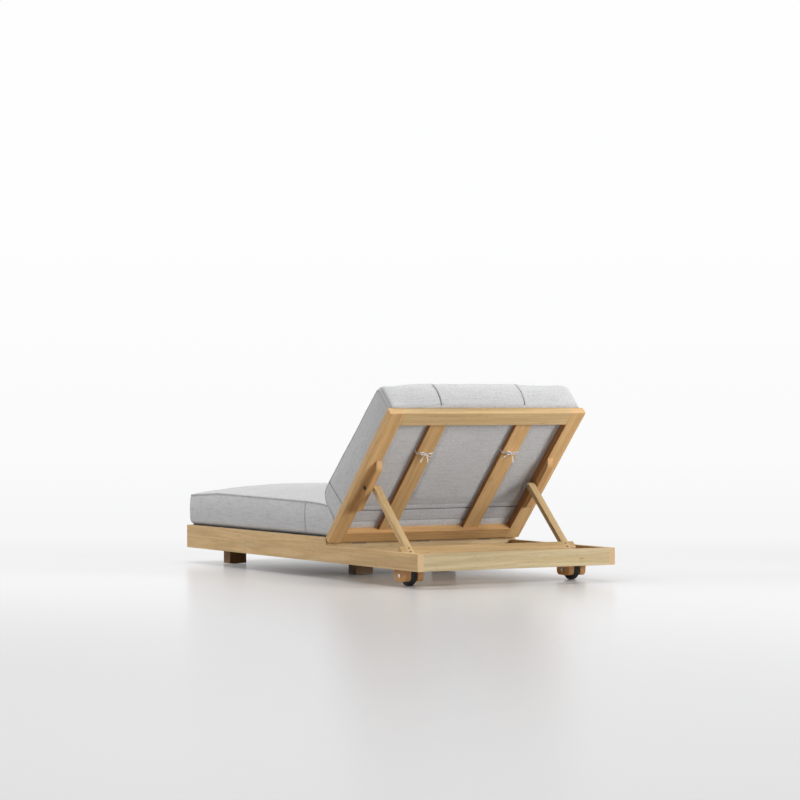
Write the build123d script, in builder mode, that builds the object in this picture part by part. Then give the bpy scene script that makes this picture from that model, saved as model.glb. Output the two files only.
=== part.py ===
from build123d import *
import os
from math import asin, cos, degrees, radians, sin, tan

# A wide chaise lounger: a low timber base on four legs and two wheels, a back frame hinged to it
# and held up by a folding prop, and two cushions. Sizes are in millimetres.
# Origin: on the floor under the middle of the base. +X is the sitter's left, +Y the head end, +Z up.

os.makedirs("parts", exist_ok=True)

# Overall sizes
length = 2200
width = 1000
floor_gap = 73  # floor to the underside of the rails
edge_round = 2  # eased long edges of every board
recline_angle = 46.3  # back frame above the horizontal

# Base frame
rail_thickness = 30
rail_height = 109.5
seat_end = 303  # the rails step down here, behind the middle of the base
end_rail_thickness = 30
hinge_beam_thickness = 40
fold_gap = 1  # between the folded back frame and the lowered rails

# Seat deck
seat_slat_count = 11
seat_slat_width = 92
seat_slat_thickness = 20
seat_slat_end_gap = 14
ledger_thickness = 22
ledger_height = 30
spine_width = 40
bearer_width = 70

# Legs
leg_width = 88
leg_length = 70
foot_leg_inset = 153  # from the side to the leg's middle
foot_leg_setback = 215  # from the foot end
mid_leg_inset = 280
mid_leg_y = 125
glide_radius = 16
glide_height = 3
glide_stud_radius = 4
glide_stud_length = 18

# Wheels and their cheeks
wheel_radius = 45
wheel_inset = 84.5  # from the side to the wheel's middle
wheel_setback = 215  # from the head end
tyre_width = 31
tyre_thickness = 16
tyre_shoulder = 6
hub_boss_radius = 12
hub_rim_thickness = 5
hub_web_thickness = 12
cheek_thickness = 26
cheek_length = 98
cheek_gap = 35  # between the two cheeks of a wheel
cheek_floor_gap = 20
wheel_top_gap = 4  # over the tyre
cheek_corner = 22
hub_side_gap = 0.5
axle_radius = 5
axle_head_radius = 8
axle_head_height = 4
axle_nut_radius = 9
axle_nut_height = 7
running_clearance = 0.08
wheel_beam_thickness = 22

# Back frame
frame_thickness = 34
stile_width = 72
top_rail_width = 72
bottom_rail_width = 58
back_slat_width = 80
back_slat_thickness = 20
back_slat_x = 220

# Hinges between the hinge beam and the back frame
hinge_gap = 4
hinge_length = 70
hinge_inset = 98  # from a stile to the middle of the outer hinge
hinge_depth = 28
leaf_thickness = 1.8
knuckle_radius = 4
knuckle_share = 0.34  # of the hinge's length, the middle knuckle
knuckle_gap = 0.5
pin_radius = 2

# Prop: two arms and a cross board that fold under the back
pivot_share = 0.4478  # of the back frame's reach, from the hinge
pivot_drop = 11.5  # behind the back frame's rear face
pivot_radius = 5
pivot_head_radius = 8
pivot_head_height = 5
pivot_nut_radius = 8.5
pivot_nut_height = 6
pivot_face_gap = 0.3
block_thickness = 28
block_depth = 27
block_taper = 26  # slanted part of each end
block_nose_round = 30
arm_width = 33
arm_thickness = 22
arm_spacing = 10  # between block and arm
prop_head_gap = 4  # from the folded prop to the head rail
board_height = 40
board_overhang = 27  # past the outer face of each arm
fold_tilt = 0.7  # the folded prop points this many degrees downwards
rack_width = 40
rack_height = 32
rack_foot_gap = 242  # from the seat end to the rack
rack_head_gap = 6  # from the rack to the head rail
rack_step_gap = 8  # from the folded pivot block to the rack's full height
rack_lead = 43.7  # full height in front of the prop's foot
rack_block_gap = 2.5  # under the folded pivot block
foot_clearance = 1
notch_depth = 8
notch_pitch = 30
notch_count = 6

# Cushions
cushion_inset = 8
soft_gap = 0.5
seat_edge_height = 161.5  # height of the seat cushion's long top edges
seat_foot_height = 171
seat_rear_height = 139.5
seat_crown_height = 205
seat_side_bulge = 4
seat_draw_in = 4
seat_corner_round = 16
seat_edge_round = 12
seat_tip_round = 7
back_start = 100  # along the back, from the hinge to the cushion
back_overhang = 19  # past the frame's top end
back_taper = 2.7  # degrees; the cushion gets thinner up the back
back_edge_height = 170  # this and the next two are at the hinge line, before the taper
back_seam_height = 178
back_crown_height = 190
back_seam_x = 220  # the two sewn seams, off the middle
back_lobe = 7  # how far the channels bulge past the seams at the cushion's far end
back_side_setback = 28  # of the far end's side corners, behind the middle channel
back_draw_in = 4
back_nose_round = 38
back_heel_round = 14
back_heel_front_round = 50

# Ties that hold the back cushion to the slats
tie_setback = 248  # from the frame's top end
tie_width = 12
tie_thickness = 1.5
tie_gap = 0.3
bow_loop_length = 26
bow_loop_width = 13
bow_spread = 17
bow_thickness = 4
tail_length = 46
tail_angle = 20
knot_radius = 7

# Fasteners
dowel_radius = 5
dowel_length = 48
dowel_grip = 30  # part of the dowel inside the cross member
dowel_share = 0.25  # of a member's height or width, each dowel off its middle
cheek_dowel_radius = 2.5
screw_radius = 2.5
screw_head_radius = 5
rail_screw_length = 54
slat_screw_length = 42
leg_screw_length = 105
leg_screw_spread = 28
leaf_screw_radius = 1.6
leaf_screw_head_radius = 3.1
leaf_screw_length = 22
leaf_screw_share = 0.33  # of the hinge's length, from its middle to each screw
block_screw_length = 48
block_screw_inset = 46  # from each end of a pivot block
board_screw_length = 20
rail_screw_margin = 60
ledger_screw_step = 3  # slats between two screws of a ledger

# Places worked out from the sizes
half_length = length / 2
half_width = width / 2
inner_half_width = half_width - rail_thickness
inner_half_length = half_length - end_rail_thickness
rail_top = floor_gap + rail_height
low_rail_top = rail_top - frame_thickness - fold_gap
beam_front = seat_end - hinge_beam_thickness
seat_slat_bottom = rail_top - seat_slat_thickness
bearer_top = seat_slat_bottom - ledger_height
foot_leg_x = half_width - foot_leg_inset
foot_leg_y = foot_leg_setback - half_length
mid_leg_x = half_width - mid_leg_inset
wheel_x = half_width - wheel_inset
wheel_y = half_length - wheel_setback
cheek_top = wheel_radius * 2 + wheel_top_gap
wheel_beam_top = cheek_top + wheel_beam_thickness
outer_cheek_x = wheel_x + (cheek_gap + cheek_thickness) / 2
inner_cheek_x = wheel_x - (cheek_gap + cheek_thickness) / 2
rack_start = seat_end + rack_foot_gap
rack_end = half_length - end_rail_thickness - rack_head_gap
ledger_x = inner_half_width - ledger_thickness / 2

# The back frame's own axes: s runs up the back from the hinge, t stands off it towards the cushion
hinge_y = seat_end + hinge_gap / 2
hinge_z = rail_top - knuckle_radius
back_cos = cos(radians(recline_angle))
back_sin = sin(radians(recline_angle))
frame_front = rail_top - hinge_z
frame_rear = frame_front - frame_thickness
frame_foot = hinge_gap / 2
frame_top = half_length - hinge_y
stile_inner = half_width - stile_width
hinge_x = stile_inner - hinge_inset
slat_rear = frame_front - back_slat_thickness
tie_distance = frame_top - tie_setback

# The prop's pivot and foot, with the back up and with it folded flat
pivot_distance = frame_top * pivot_share
pivot_t = frame_rear - pivot_drop
pivot_y = hinge_y + pivot_distance * back_cos - pivot_t * back_sin
pivot_z = hinge_z + pivot_distance * back_sin + pivot_t * back_cos
foot_radius = arm_thickness / 2
foot_z = cheek_top + rack_height + foot_clearance + foot_radius
flat_foot_y = inner_half_length - prop_head_gap - foot_radius
prop_reach = (flat_foot_y - hinge_y - pivot_distance) / cos(radians(fold_tilt))
prop_angle = degrees(asin((pivot_z - foot_z) / prop_reach))
prop_cos = cos(radians(prop_angle))
prop_sin = sin(radians(prop_angle))
foot_y = pivot_y + prop_reach * prop_cos
flat_foot_z = hinge_z + pivot_t - prop_reach * sin(radians(fold_tilt))
rack_step = foot_y - rack_lead
rack_low_top = hinge_z + frame_rear - block_depth - rack_block_gap
block_half = rack_step - rack_step_gap - hinge_y - pivot_distance
arm_outer = stile_inner - arm_spacing
arm_inner = arm_outer - arm_width
board_half = arm_outer + board_overhang

down = (Align.CENTER, Align.CENTER, Align.MAX)
sides = ((1, "left"), (-1, "right"))


def save(part, node):
    """Label a finished piece and write it under its node's name."""
    part.label = node
    export_step(part, f"parts/{node}.step")


def back_face(t):
    """Plane parallel to the back frame: its x is X, its y is s, at height t off the hinge axis."""
    hinge = Plane(origin=(0, hinge_y, hinge_z), x_dir=(1, 0, 0), z_dir=(0, -back_sin, back_cos))
    return hinge.offset(t)


def back_section(s):
    """Plane square to the back frame: its x is X and its y is t, seen from the foot of the back."""
    start = (0, hinge_y + s * back_cos, hinge_z + s * back_sin)
    return Plane(origin=start, x_dir=(-1, 0, 0), z_dir=(0, back_cos, back_sin))


def back_side(x):
    """Upright plane along the back frame: its x is s and its y is t."""
    return Plane(origin=(x, hinge_y, hinge_z), x_dir=(0, back_cos, back_sin), z_dir=(1, 0, 0))


def prop_side(x):
    """Upright plane along the prop: its x runs from pivot to foot, its y stands off the upper side."""
    return Plane(origin=(x, pivot_y, pivot_z), x_dir=(0, prop_cos, -prop_sin), z_dir=(1, 0, 0))


def bars(plane, points, radius, amount):
    """Round bars that start at the points of a plane and run along its normal."""
    with BuildPart() as group:
        with BuildSketch(plane):
            with Locations(*points):
                Circle(radius)
        extrude(amount=amount)
    return group.part


def group(*parts):
    """Several pieces of one kind, kept as separate solids."""
    with BuildPart() as pieces:
        for part in parts:
            add(part)
    return pieces.part


def both_sides(part):
    """A group with its mirror image across the middle of the lounger."""
    with BuildPart() as pair:
        add(part)
        mirror(about=Plane.YZ)
    return pair.part


def screws(face, points, shank_radius, head_radius, screw_length):
    """Countersunk screws with their heads flush in a face, driven against its normal."""
    with BuildPart(face) as group:
        with Locations(*points):
            Cylinder(shank_radius, screw_length, align=down)
            Cone(shank_radius, head_radius, head_radius - shank_radius, align=down)
    return group.part


def spread(low, high, share):
    """Two places, a share of the span to each side of its middle."""
    middle = (low + high) / 2
    return [middle - (high - low) * share, middle + (high - low) * share]


# Dowels join every cross member to the side rails, and the wheel beam to the racks.
def rail_dowel_points():
    tall = [
        (-half_length + end_rail_thickness / 2, floor_gap, rail_top),
        (foot_leg_y, floor_gap, bearer_top),
        (mid_leg_y, floor_gap, bearer_top),
        (seat_end - hinge_beam_thickness / 2, floor_gap, rail_top),
        (half_length - end_rail_thickness / 2, floor_gap, low_rail_top),
    ]
    return [(y, z) for y, low, high in tall for z in spread(low, high, dowel_share)]


def make_base_dowels():
    start = Plane.YZ.offset(inner_half_width - dowel_grip)
    rails = bars(start, rail_dowel_points(), dowel_radius, dowel_length)
    beam_z = (cheek_top + wheel_beam_top) / 2
    beam_rows = spread(wheel_y - cheek_length / 2, wheel_y + cheek_length / 2, dowel_share)
    beam_start = Plane.YZ.offset(inner_half_width - rack_width - dowel_grip)
    beam = bars(beam_start, [(y, beam_z) for y in beam_rows], dowel_radius, dowel_length)
    return both_sides(group(rails, beam))


def make_wheel_dowels():
    rows = spread(wheel_y - cheek_length / 2, wheel_y + cheek_length / 2, dowel_share)
    points = [(x, y) for x in (inner_cheek_x, outer_cheek_x) for y in rows]
    start = Plane.XY.offset(cheek_top - dowel_length / 2)
    return both_sides(bars(start, points, cheek_dowel_radius, (dowel_length + wheel_beam_thickness) / 2))


base_dowels = make_base_dowels()
wheel_dowels = make_wheel_dowels()
save(group(base_dowels, wheel_dowels), "base_dowels")


def seat_slat_places():
    first = -inner_half_length + seat_slat_end_gap + seat_slat_width / 2
    last = beam_front - seat_slat_end_gap - seat_slat_width / 2
    pitch = (last - first) / (seat_slat_count - 1)
    return [first + pitch * i for i in range(seat_slat_count)]


# Screws of the base: racks and ledgers to the side rails, slats to ledgers and spine, legs to bearers.
def inward_face(x):
    """Upright plane that looks to the middle of the lounger: its x is -Y and its y is Z."""
    return Plane(origin=(x, 0, 0), x_dir=(0, -1, 0), z_dir=(-1, 0, 0))


def make_rail_screws():
    rack_face = inward_face(inner_half_width - rack_width)
    rack_z = cheek_top + screw_head_radius * 2
    rack_y = [rack_start + rail_screw_margin, wheel_y - cheek_length, rack_end - rail_screw_margin]
    rack_points = [(-y, rack_z) for y in rack_y]
    rack = screws(rack_face, rack_points, screw_radius, screw_head_radius, rail_screw_length)
    ledger_face = inward_face(inner_half_width - ledger_thickness)
    ledger_z = (bearer_top + seat_slat_bottom) / 2
    places = seat_slat_places()
    ledger_y = [(places[i] + places[i + 1]) / 2 for i in range(0, seat_slat_count - 1, ledger_screw_step)]
    ledger_screw = ledger_thickness + rail_thickness / 2
    ledger_points = [(-y, ledger_z) for y in ledger_y]
    ledger = screws(ledger_face, ledger_points, screw_radius, screw_head_radius, ledger_screw)
    return both_sides(group(rack, ledger))


def make_slat_screws():
    points = [(x, y) for x in (-ledger_x, 0, ledger_x) for y in seat_slat_places()]
    return screws(Plane.XY.offset(rail_top), points, screw_radius, screw_head_radius, slat_screw_length)


def make_leg_screws():
    face = Plane(origin=(0, 0, glide_height), x_dir=(1, 0, 0), z_dir=(0, 0, -1))
    spots = [(foot_leg_x, -foot_leg_y), (mid_leg_x, -mid_leg_y)]
    points = [(x + leg_screw_spread * i, y) for x, y in spots for i in (-1, 1)]
    return both_sides(screws(face, points, screw_radius, screw_head_radius, leg_screw_length))


rail_screws = make_rail_screws()
slat_screws = make_slat_screws()
leg_screws = make_leg_screws()
save(rail_screws, "rail_screws")
save(slat_screws, "slat_screws")
save(leg_screws, "leg_screws")


# Hinges: leaves stand on the meeting faces, the knuckles lie in a groove along both top corners.
hinge_places = [-hinge_x, 0, hinge_x]
fixed_leaf_face = hinge_y - (frame_foot - leaf_thickness)
fixed_screw_face = Plane(origin=(0, fixed_leaf_face, hinge_z), x_dir=(-1, 0, 0), z_dir=(0, 1, 0))
moving_screw_face = Plane(
    origin=back_section(frame_foot - leaf_thickness).origin,
    x_dir=(1, 0, 0),
    z_dir=(0, -back_cos, -back_sin),
)
middle_knuckle = hinge_length * knuckle_share
end_knuckle = (hinge_length - middle_knuckle) / 2 - knuckle_gap
leaf_screw_step = hinge_length * leaf_screw_share


def hinge_bars(start, radius, amount):
    """A round bar on the hinge axis for each hinge, from a distance past the hinge's middle."""
    starts = [Plane.YZ.offset(x + start) for x in hinge_places]
    return group(*[bars(plane, [(hinge_y, hinge_z)], radius, amount) for plane in starts])


def leaf_plates(plane):
    """The flat plates of one set of leaves, hanging below the hinge axis."""
    with BuildPart() as plates:
        with BuildSketch(plane):
            with Locations(*[(x, 0) for x in hinge_places]):
                Rectangle(hinge_length, hinge_depth, align=(Align.CENTER, Align.MAX))
        extrude(amount=leaf_thickness)
    return plates.part


def end_bars(radius, extra):
    """Bars over both end knuckles, longer by an extra amount outwards and inwards."""
    outer = hinge_bars(middle_knuckle / 2 + knuckle_gap - extra, radius, end_knuckle + extra * 2)
    inner = hinge_bars(-hinge_length / 2 - extra, radius, end_knuckle + extra * 2)
    return group(outer, inner)


leaf_screw_points = [(x + leaf_screw_step * i, -hinge_depth / 2) for x in hinge_places for i in (-1, 1)]
hinge_fixed_screws = screws(
    fixed_screw_face, leaf_screw_points, leaf_screw_radius, leaf_screw_head_radius, leaf_screw_length
)
hinge_moving_screws = screws(
    moving_screw_face, leaf_screw_points, leaf_screw_radius, leaf_screw_head_radius, leaf_screw_length
)
hinge_pins = hinge_bars(-hinge_length / 2, pin_radius, hinge_length)
hinge_groove = hinge_bars(
    -hinge_length / 2 - knuckle_gap, knuckle_radius + knuckle_gap, hinge_length + knuckle_gap * 2
)
save(hinge_fixed_screws, "hinge_fixed_screws")
save(hinge_moving_screws, "hinge_moving_screws")
save(hinge_pins, "hinge_pins")

fixed_plates = leaf_plates(Plane(origin=(0, seat_end, hinge_z), x_dir=(-1, 0, 0), z_dir=(0, 1, 0)))
end_knuckles = end_bars(knuckle_radius, 0)
middle_relief = hinge_bars(
    -middle_knuckle / 2 - knuckle_gap, knuckle_radius + knuckle_gap, middle_knuckle + knuckle_gap * 2
)
with BuildPart() as hinge_fixed_leaves:
    add(fixed_plates)
    add(middle_relief, mode=Mode.SUBTRACT)
    add(end_knuckles)
    add(hinge_pins, mode=Mode.SUBTRACT)
    add(hinge_fixed_screws, mode=Mode.SUBTRACT)
save(hinge_fixed_leaves.part, "hinge_fixed_leaves")

moving_plates = leaf_plates(back_section(frame_foot - leaf_thickness))
middle_knuckles = hinge_bars(-middle_knuckle / 2, knuckle_radius, middle_knuckle)
end_relief = end_bars(knuckle_radius + knuckle_gap, knuckle_gap)
pin_bore = hinge_bars(-hinge_length / 2, pin_radius + running_clearance, hinge_length)
with BuildPart() as hinge_moving_leaves:
    add(moving_plates)
    add(end_relief, mode=Mode.SUBTRACT)
    add(middle_knuckles)
    add(pin_bore, mode=Mode.SUBTRACT)
    add(hinge_moving_screws, mode=Mode.SUBTRACT)
save(hinge_moving_leaves.part, "hinge_moving_leaves")


# Side rails: full length, lowered behind the seat so that the back folds down flush.
def make_side_rail(side):
    with BuildPart() as side_rail:
        with BuildSketch(Plane.YZ.offset(side * inner_half_width)):
            with BuildLine():
                Polyline(
                    (-half_length, floor_gap),
                    (half_length, floor_gap),
                    (half_length, low_rail_top),
                    (seat_end, low_rail_top),
                    (seat_end, rail_top),
                    (-half_length, rail_top),
                    close=True,
                )
            make_face()
        extrude(amount=side * rail_thickness)
        chamfer(side_rail.edges().filter_by(Axis.Y), edge_round / 2)
        add(base_dowels, mode=Mode.SUBTRACT)
        add(rail_screws, mode=Mode.SUBTRACT)
    return side_rail.part


for side, name in sides:
    save(make_side_rail(side), f"side_rail_{name}")


# Cross members between the side rails
def make_cross_member(middle_y, thickness, low, high, half_span):
    with BuildPart() as member:
        with BuildSketch(Plane.YZ.offset(-half_span)):
            with Locations((middle_y, (low + high) / 2)):
                RectangleRounded(thickness, high - low, edge_round)
        extrude(amount=half_span * 2)
        add(base_dowels, mode=Mode.SUBTRACT)
    return member.part


foot_rail = make_cross_member(
    -half_length + end_rail_thickness / 2, end_rail_thickness, floor_gap, rail_top, inner_half_width
)
save(foot_rail, "foot_rail")

head_rail = make_cross_member(
    half_length - end_rail_thickness / 2, end_rail_thickness, floor_gap, low_rail_top, inner_half_width
)
save(head_rail, "head_rail")

plain_hinge_beam = make_cross_member(
    seat_end - hinge_beam_thickness / 2, hinge_beam_thickness, floor_gap, rail_top, inner_half_width
)
with BuildPart() as hinge_beam:
    add(plain_hinge_beam)
    add(hinge_groove, mode=Mode.SUBTRACT)
    add(hinge_fixed_screws, mode=Mode.SUBTRACT)
save(hinge_beam.part, "hinge_beam")

for name, bearer_y in (("foot", foot_leg_y), ("middle", mid_leg_y)):
    plain_bearer = make_cross_member(bearer_y, bearer_width, floor_gap, bearer_top, inner_half_width)
    with BuildPart() as bearer:
        add(plain_bearer)
        add(leg_screws, mode=Mode.SUBTRACT)
    save(bearer.part, f"{name}_bearer")

plain_wheel_beam = make_cross_member(
    wheel_y, cheek_length, cheek_top, wheel_beam_top, inner_half_width - rack_width
)
with BuildPart() as wheel_beam:
    add(plain_wheel_beam)
    add(wheel_dowels, mode=Mode.SUBTRACT)
save(wheel_beam.part, "wheel_beam")


# Seat deck: two ledgers and a spine carry the slats.
def make_long_support(middle_x, thickness):
    with BuildPart() as support:
        with BuildSketch(Plane.XZ.offset(inner_half_length)):
            with Locations((middle_x, (bearer_top + seat_slat_bottom) / 2)):
                RectangleRounded(thickness, ledger_height, edge_round)
        extrude(amount=-(inner_half_length + beam_front))
        add(rail_screws, mode=Mode.SUBTRACT)
        add(slat_screws, mode=Mode.SUBTRACT)
    return support.part


save(make_long_support(ledger_x, ledger_thickness), "slat_ledger_left")
save(make_long_support(-ledger_x, ledger_thickness), "slat_ledger_right")
save(make_long_support(0, spine_width), "seat_spine")

with BuildPart() as seat_slats:
    with BuildSketch(Plane.YZ.offset(-inner_half_width)):
        with Locations(*[(y, (seat_slat_bottom + rail_top) / 2) for y in seat_slat_places()]):
            RectangleRounded(seat_slat_width, seat_slat_thickness, edge_round)
    extrude(amount=inner_half_width * 2)
    add(slat_screws, mode=Mode.SUBTRACT)
save(seat_slats.part, "seat_slats")

# Legs stand under the bearers on round glides.
leg_places = [
    (foot_leg_x, foot_leg_y),
    (-foot_leg_x, foot_leg_y),
    (mid_leg_x, mid_leg_y),
    (-mid_leg_x, mid_leg_y),
]
with BuildPart() as leg_glides:
    with BuildSketch():
        with Locations(*leg_places):
            Circle(glide_radius)
    extrude(amount=glide_height)
    with BuildSketch(Plane.XY.offset(glide_height)):
        with Locations(*leg_places):
            Circle(glide_stud_radius)
    extrude(amount=glide_stud_length)
save(leg_glides.part, "leg_glides")


def make_leg(place):
    with BuildPart() as leg:
        with BuildSketch(Plane.XY.offset(glide_height)):
            with Locations(place):
                RectangleRounded(leg_width, leg_length, edge_round)
        extrude(amount=floor_gap - glide_height)
        add(leg_glides.part, mode=Mode.SUBTRACT)
        add(leg_screws, mode=Mode.SUBTRACT)
    return leg.part


for name, place in zip(("foot_left", "foot_right", "middle_left", "middle_right"), leg_places):
    save(make_leg(place), f"leg_{name}")


# Racks on which the prop's foot stands, with a notch for each lower position of the back
def make_rack(side):
    slope = (flat_foot_z - foot_z) / (flat_foot_y - foot_y)
    start_top = foot_z - foot_radius - foot_clearance
    end_top = start_top + (rack_end - foot_y) * slope
    with BuildPart() as rack:
        with BuildSketch(Plane.YZ.offset(side * (inner_half_width - rack_width))):
            with BuildLine():
                Polyline(
                    (rack_start, cheek_top),
                    (rack_end, cheek_top),
                    (rack_end, end_top),
                    (foot_y, start_top),
                    (rack_step, start_top),
                    (rack_step, rack_low_top),
                    (rack_start, rack_low_top),
                    close=True,
                )
            make_face()
            for i in range(notch_count):
                notch_y = foot_y + notch_pitch * i
                notch_top = start_top + (notch_y - foot_y) * slope + edge_round
                with BuildLine():
                    Polyline(
                        (notch_y - notch_pitch / 2, notch_top),
                        (notch_y + notch_depth / 2, notch_top),
                        (notch_y + notch_depth / 2, notch_top - notch_depth),
                        (notch_y, notch_top - notch_depth),
                        close=True,
                    )
                make_face(mode=Mode.SUBTRACT)
        extrude(amount=side * rack_width)
        add(base_dowels, mode=Mode.SUBTRACT)
        add(wheel_dowels, mode=Mode.SUBTRACT)
        add(rail_screws, mode=Mode.SUBTRACT)
    return rack.part


for side, name in sides:
    save(make_rack(side), f"prop_rack_{name}")


# Wheels: a rubber tyre on a hub, between two cheeks, on a bolt
def axle_bars(start, radius, amount):
    """Round bars on both wheel axes, from a distance off the lounger's middle."""
    return both_sides(bars(Plane.YZ.offset(start), [(wheel_y, wheel_radius)], radius, amount))


axle_end = outer_cheek_x + cheek_thickness / 2
nut_face = inner_cheek_x - cheek_thickness / 2
axle_start = nut_face - axle_nut_height
axle_shanks = axle_bars(axle_start, axle_radius, axle_end - axle_start)
with BuildPart() as wheel_axles:
    add(axle_shanks)
    add(axle_bars(axle_end, axle_head_radius, axle_head_height))
save(wheel_axles.part, "wheel_axles")

with BuildPart() as axle_nuts:
    with BuildSketch(Plane.YZ.offset(nut_face)):
        with Locations((wheel_y, wheel_radius)):
            RegularPolygon(axle_nut_radius, 6)
    extrude(amount=-axle_nut_height)
    mirror(about=Plane.YZ)
    add(axle_shanks, mode=Mode.SUBTRACT)
save(axle_nuts.part, "axle_nuts")

def make_cheek(middle_x):
    with BuildPart() as cheek:
        with BuildSketch(Plane.YZ.offset(middle_x - cheek_thickness / 2)):
            with BuildLine():
                Polyline(
                    (wheel_y - cheek_length / 2, cheek_top),
                    (wheel_y - cheek_length / 2, cheek_floor_gap),
                    (wheel_y + cheek_length / 2, cheek_floor_gap),
                    (wheel_y + cheek_length / 2, cheek_top),
                    close=True,
                )
            cheek_face = make_face()
            fillet(cheek_face.vertices().sort_by(Axis.Y)[:2], cheek_corner)
        extrude(amount=cheek_thickness)
        add(wheel_dowels, mode=Mode.SUBTRACT)
        add(axle_shanks, mode=Mode.SUBTRACT)
    return cheek.part


for side, name in sides:
    save(make_cheek(side * outer_cheek_x), f"wheel_cheek_{name}_outer")
    save(make_cheek(side * inner_cheek_x), f"wheel_cheek_{name}_inner")


def ring_profile(middle_x, inner, outer, thickness):
    """A rectangle above the axle that spins into a ring."""
    with BuildSketch(Plane.XZ.offset(-wheel_y)) as profile:
        with Locations((middle_x, wheel_radius + (inner + outer) / 2)):
            Rectangle(thickness, outer - inner)
    return profile.sketch


def make_tyre(middle_x):
    axle = Axis((middle_x, wheel_y, wheel_radius), (1, 0, 0))
    with BuildPart() as tyre:
        revolve(ring_profile(middle_x, wheel_radius - tyre_thickness, wheel_radius, tyre_width), axis=axle)
        outer_edges = tyre.edges().filter_by(GeomType.CIRCLE).group_by(SortBy.RADIUS)[-1]
        fillet(outer_edges, tyre_shoulder)
    return tyre.part


def make_hub(middle_x):
    axle = Axis((middle_x, wheel_y, wheel_radius), (1, 0, 0))
    rim_outer = wheel_radius - tyre_thickness
    rim_inner = rim_outer - hub_rim_thickness
    hub_length = cheek_gap - hub_side_gap * 2
    bore = axle_radius + running_clearance
    with BuildPart() as hub:
        revolve(ring_profile(middle_x, bore, hub_boss_radius, hub_length), axis=axle)
        revolve(ring_profile(middle_x, hub_boss_radius, rim_inner, hub_web_thickness), axis=axle)
        revolve(ring_profile(middle_x, rim_inner, rim_outer, tyre_width), axis=axle)
    return hub.part


for side, name in sides:
    save(make_tyre(side * wheel_x), f"tyre_{name}")
    save(make_hub(side * wheel_x), f"wheel_hub_{name}")


# Back frame: two full-length stiles, a rail at each end between them, and two slats
frame_dowel_start = stile_inner - dowel_grip
bottom_rail_rows = spread(frame_foot, frame_foot + bottom_rail_width, dowel_share)
top_rail_rows = spread(frame_top - top_rail_width, frame_top, dowel_share)
frame_middle_t = (frame_front + frame_rear) / 2
frame_dowel_points = [(s, frame_middle_t) for s in bottom_rail_rows + top_rail_rows]
frame_dowels = both_sides(bars(back_side(frame_dowel_start), frame_dowel_points, dowel_radius, dowel_length))
save(frame_dowels, "frame_dowels")


def block_points():
    spread_s = block_half - block_screw_inset
    return [(stile_inner + block_thickness / 2, pivot_distance + spread_s * i) for i in (-1, 1)]


block_screws = both_sides(
    screws(back_face(frame_front), block_points(), screw_radius, screw_head_radius, block_screw_length)
)
save(block_screws, "block_screws")


def make_stile(side):
    with BuildPart() as stile:
        with BuildSketch(back_section(frame_foot)):
            with Locations((-side * (stile_inner + stile_width / 2), frame_middle_t)):
                RectangleRounded(stile_width, frame_thickness, edge_round)
        extrude(amount=frame_top - frame_foot)
        add(frame_dowels, mode=Mode.SUBTRACT)
        add(block_screws, mode=Mode.SUBTRACT)
    return stile.part


for side, name in sides:
    save(make_stile(side), f"back_stile_{name}")


def make_frame_rail(low, high):
    with BuildPart() as rail:
        with BuildSketch(back_side(-stile_inner)):
            with Locations(((low + high) / 2, frame_middle_t)):
                RectangleRounded(high - low, frame_thickness, edge_round)
        extrude(amount=stile_inner * 2)
        add(frame_dowels, mode=Mode.SUBTRACT)
        add(hinge_groove, mode=Mode.SUBTRACT)
        add(hinge_moving_screws, mode=Mode.SUBTRACT)
    return rail.part


save(make_frame_rail(frame_foot, frame_foot + bottom_rail_width), "back_bottom_rail")
save(make_frame_rail(frame_top - top_rail_width, frame_top), "back_top_rail")

slat_start = frame_foot + bottom_rail_width
slat_end = frame_top - top_rail_width
for side, name in sides:
    with BuildPart() as back_slat:
        with BuildSketch(back_section(slat_start)):
            with Locations((-side * back_slat_x, (frame_front + slat_rear) / 2)):
                RectangleRounded(back_slat_width, back_slat_thickness, edge_round)
        extrude(amount=slat_end - slat_start)
    save(back_slat.part, f"back_slat_{name}")


# Prop: pivot blocks under the stiles, bolts, two arms and a cross board
def pivot_bars(start, radius, amount):
    """Round bars on the prop's pivot axis, from a distance off the lounger's middle."""
    return both_sides(bars(Plane.YZ.offset(start), [(pivot_y, pivot_z)], radius, amount))


pivot_nut_face = arm_inner - pivot_face_gap
pivot_end = stile_inner + block_thickness
pivot_start = pivot_nut_face - pivot_nut_height
pivot_shanks = pivot_bars(pivot_start, pivot_radius, pivot_end - pivot_start)
with BuildPart() as pivot_bolts:
    add(pivot_shanks)
    add(pivot_bars(pivot_end, pivot_head_radius, pivot_head_height))
save(pivot_bolts.part, "pivot_bolts")

with BuildPart() as pivot_nuts:
    with BuildSketch(Plane.YZ.offset(pivot_nut_face)):
        with Locations((pivot_y, pivot_z)):
            RegularPolygon(pivot_nut_radius, 6)
    extrude(amount=-pivot_nut_height)
    mirror(about=Plane.YZ)
    add(pivot_shanks, mode=Mode.SUBTRACT)
save(pivot_nuts.part, "pivot_nuts")

with BuildPart() as pivot_spacers:
    add(pivot_bars(arm_outer + pivot_face_gap, pivot_head_radius, arm_spacing - pivot_face_gap))
    add(pivot_shanks, mode=Mode.SUBTRACT)
save(pivot_spacers.part, "pivot_spacers")


def make_block(side):
    low = pivot_distance - block_half
    high = pivot_distance + block_half
    with BuildPart() as block:
        with BuildSketch(back_side(side * stile_inner)) as outline:
            with BuildLine():
                Polyline(
                    (low, frame_rear),
                    (high, frame_rear),
                    (high - block_taper, frame_rear - block_depth),
                    (low + block_taper, frame_rear - block_depth),
                    close=True,
                )
            make_face()
            fillet(outline.vertices().sort_by(Axis.Y)[:2], block_nose_round)
        extrude(amount=side * block_thickness)
        add(pivot_shanks, mode=Mode.SUBTRACT)
        add(block_screws, mode=Mode.SUBTRACT)
    return block.part


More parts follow.
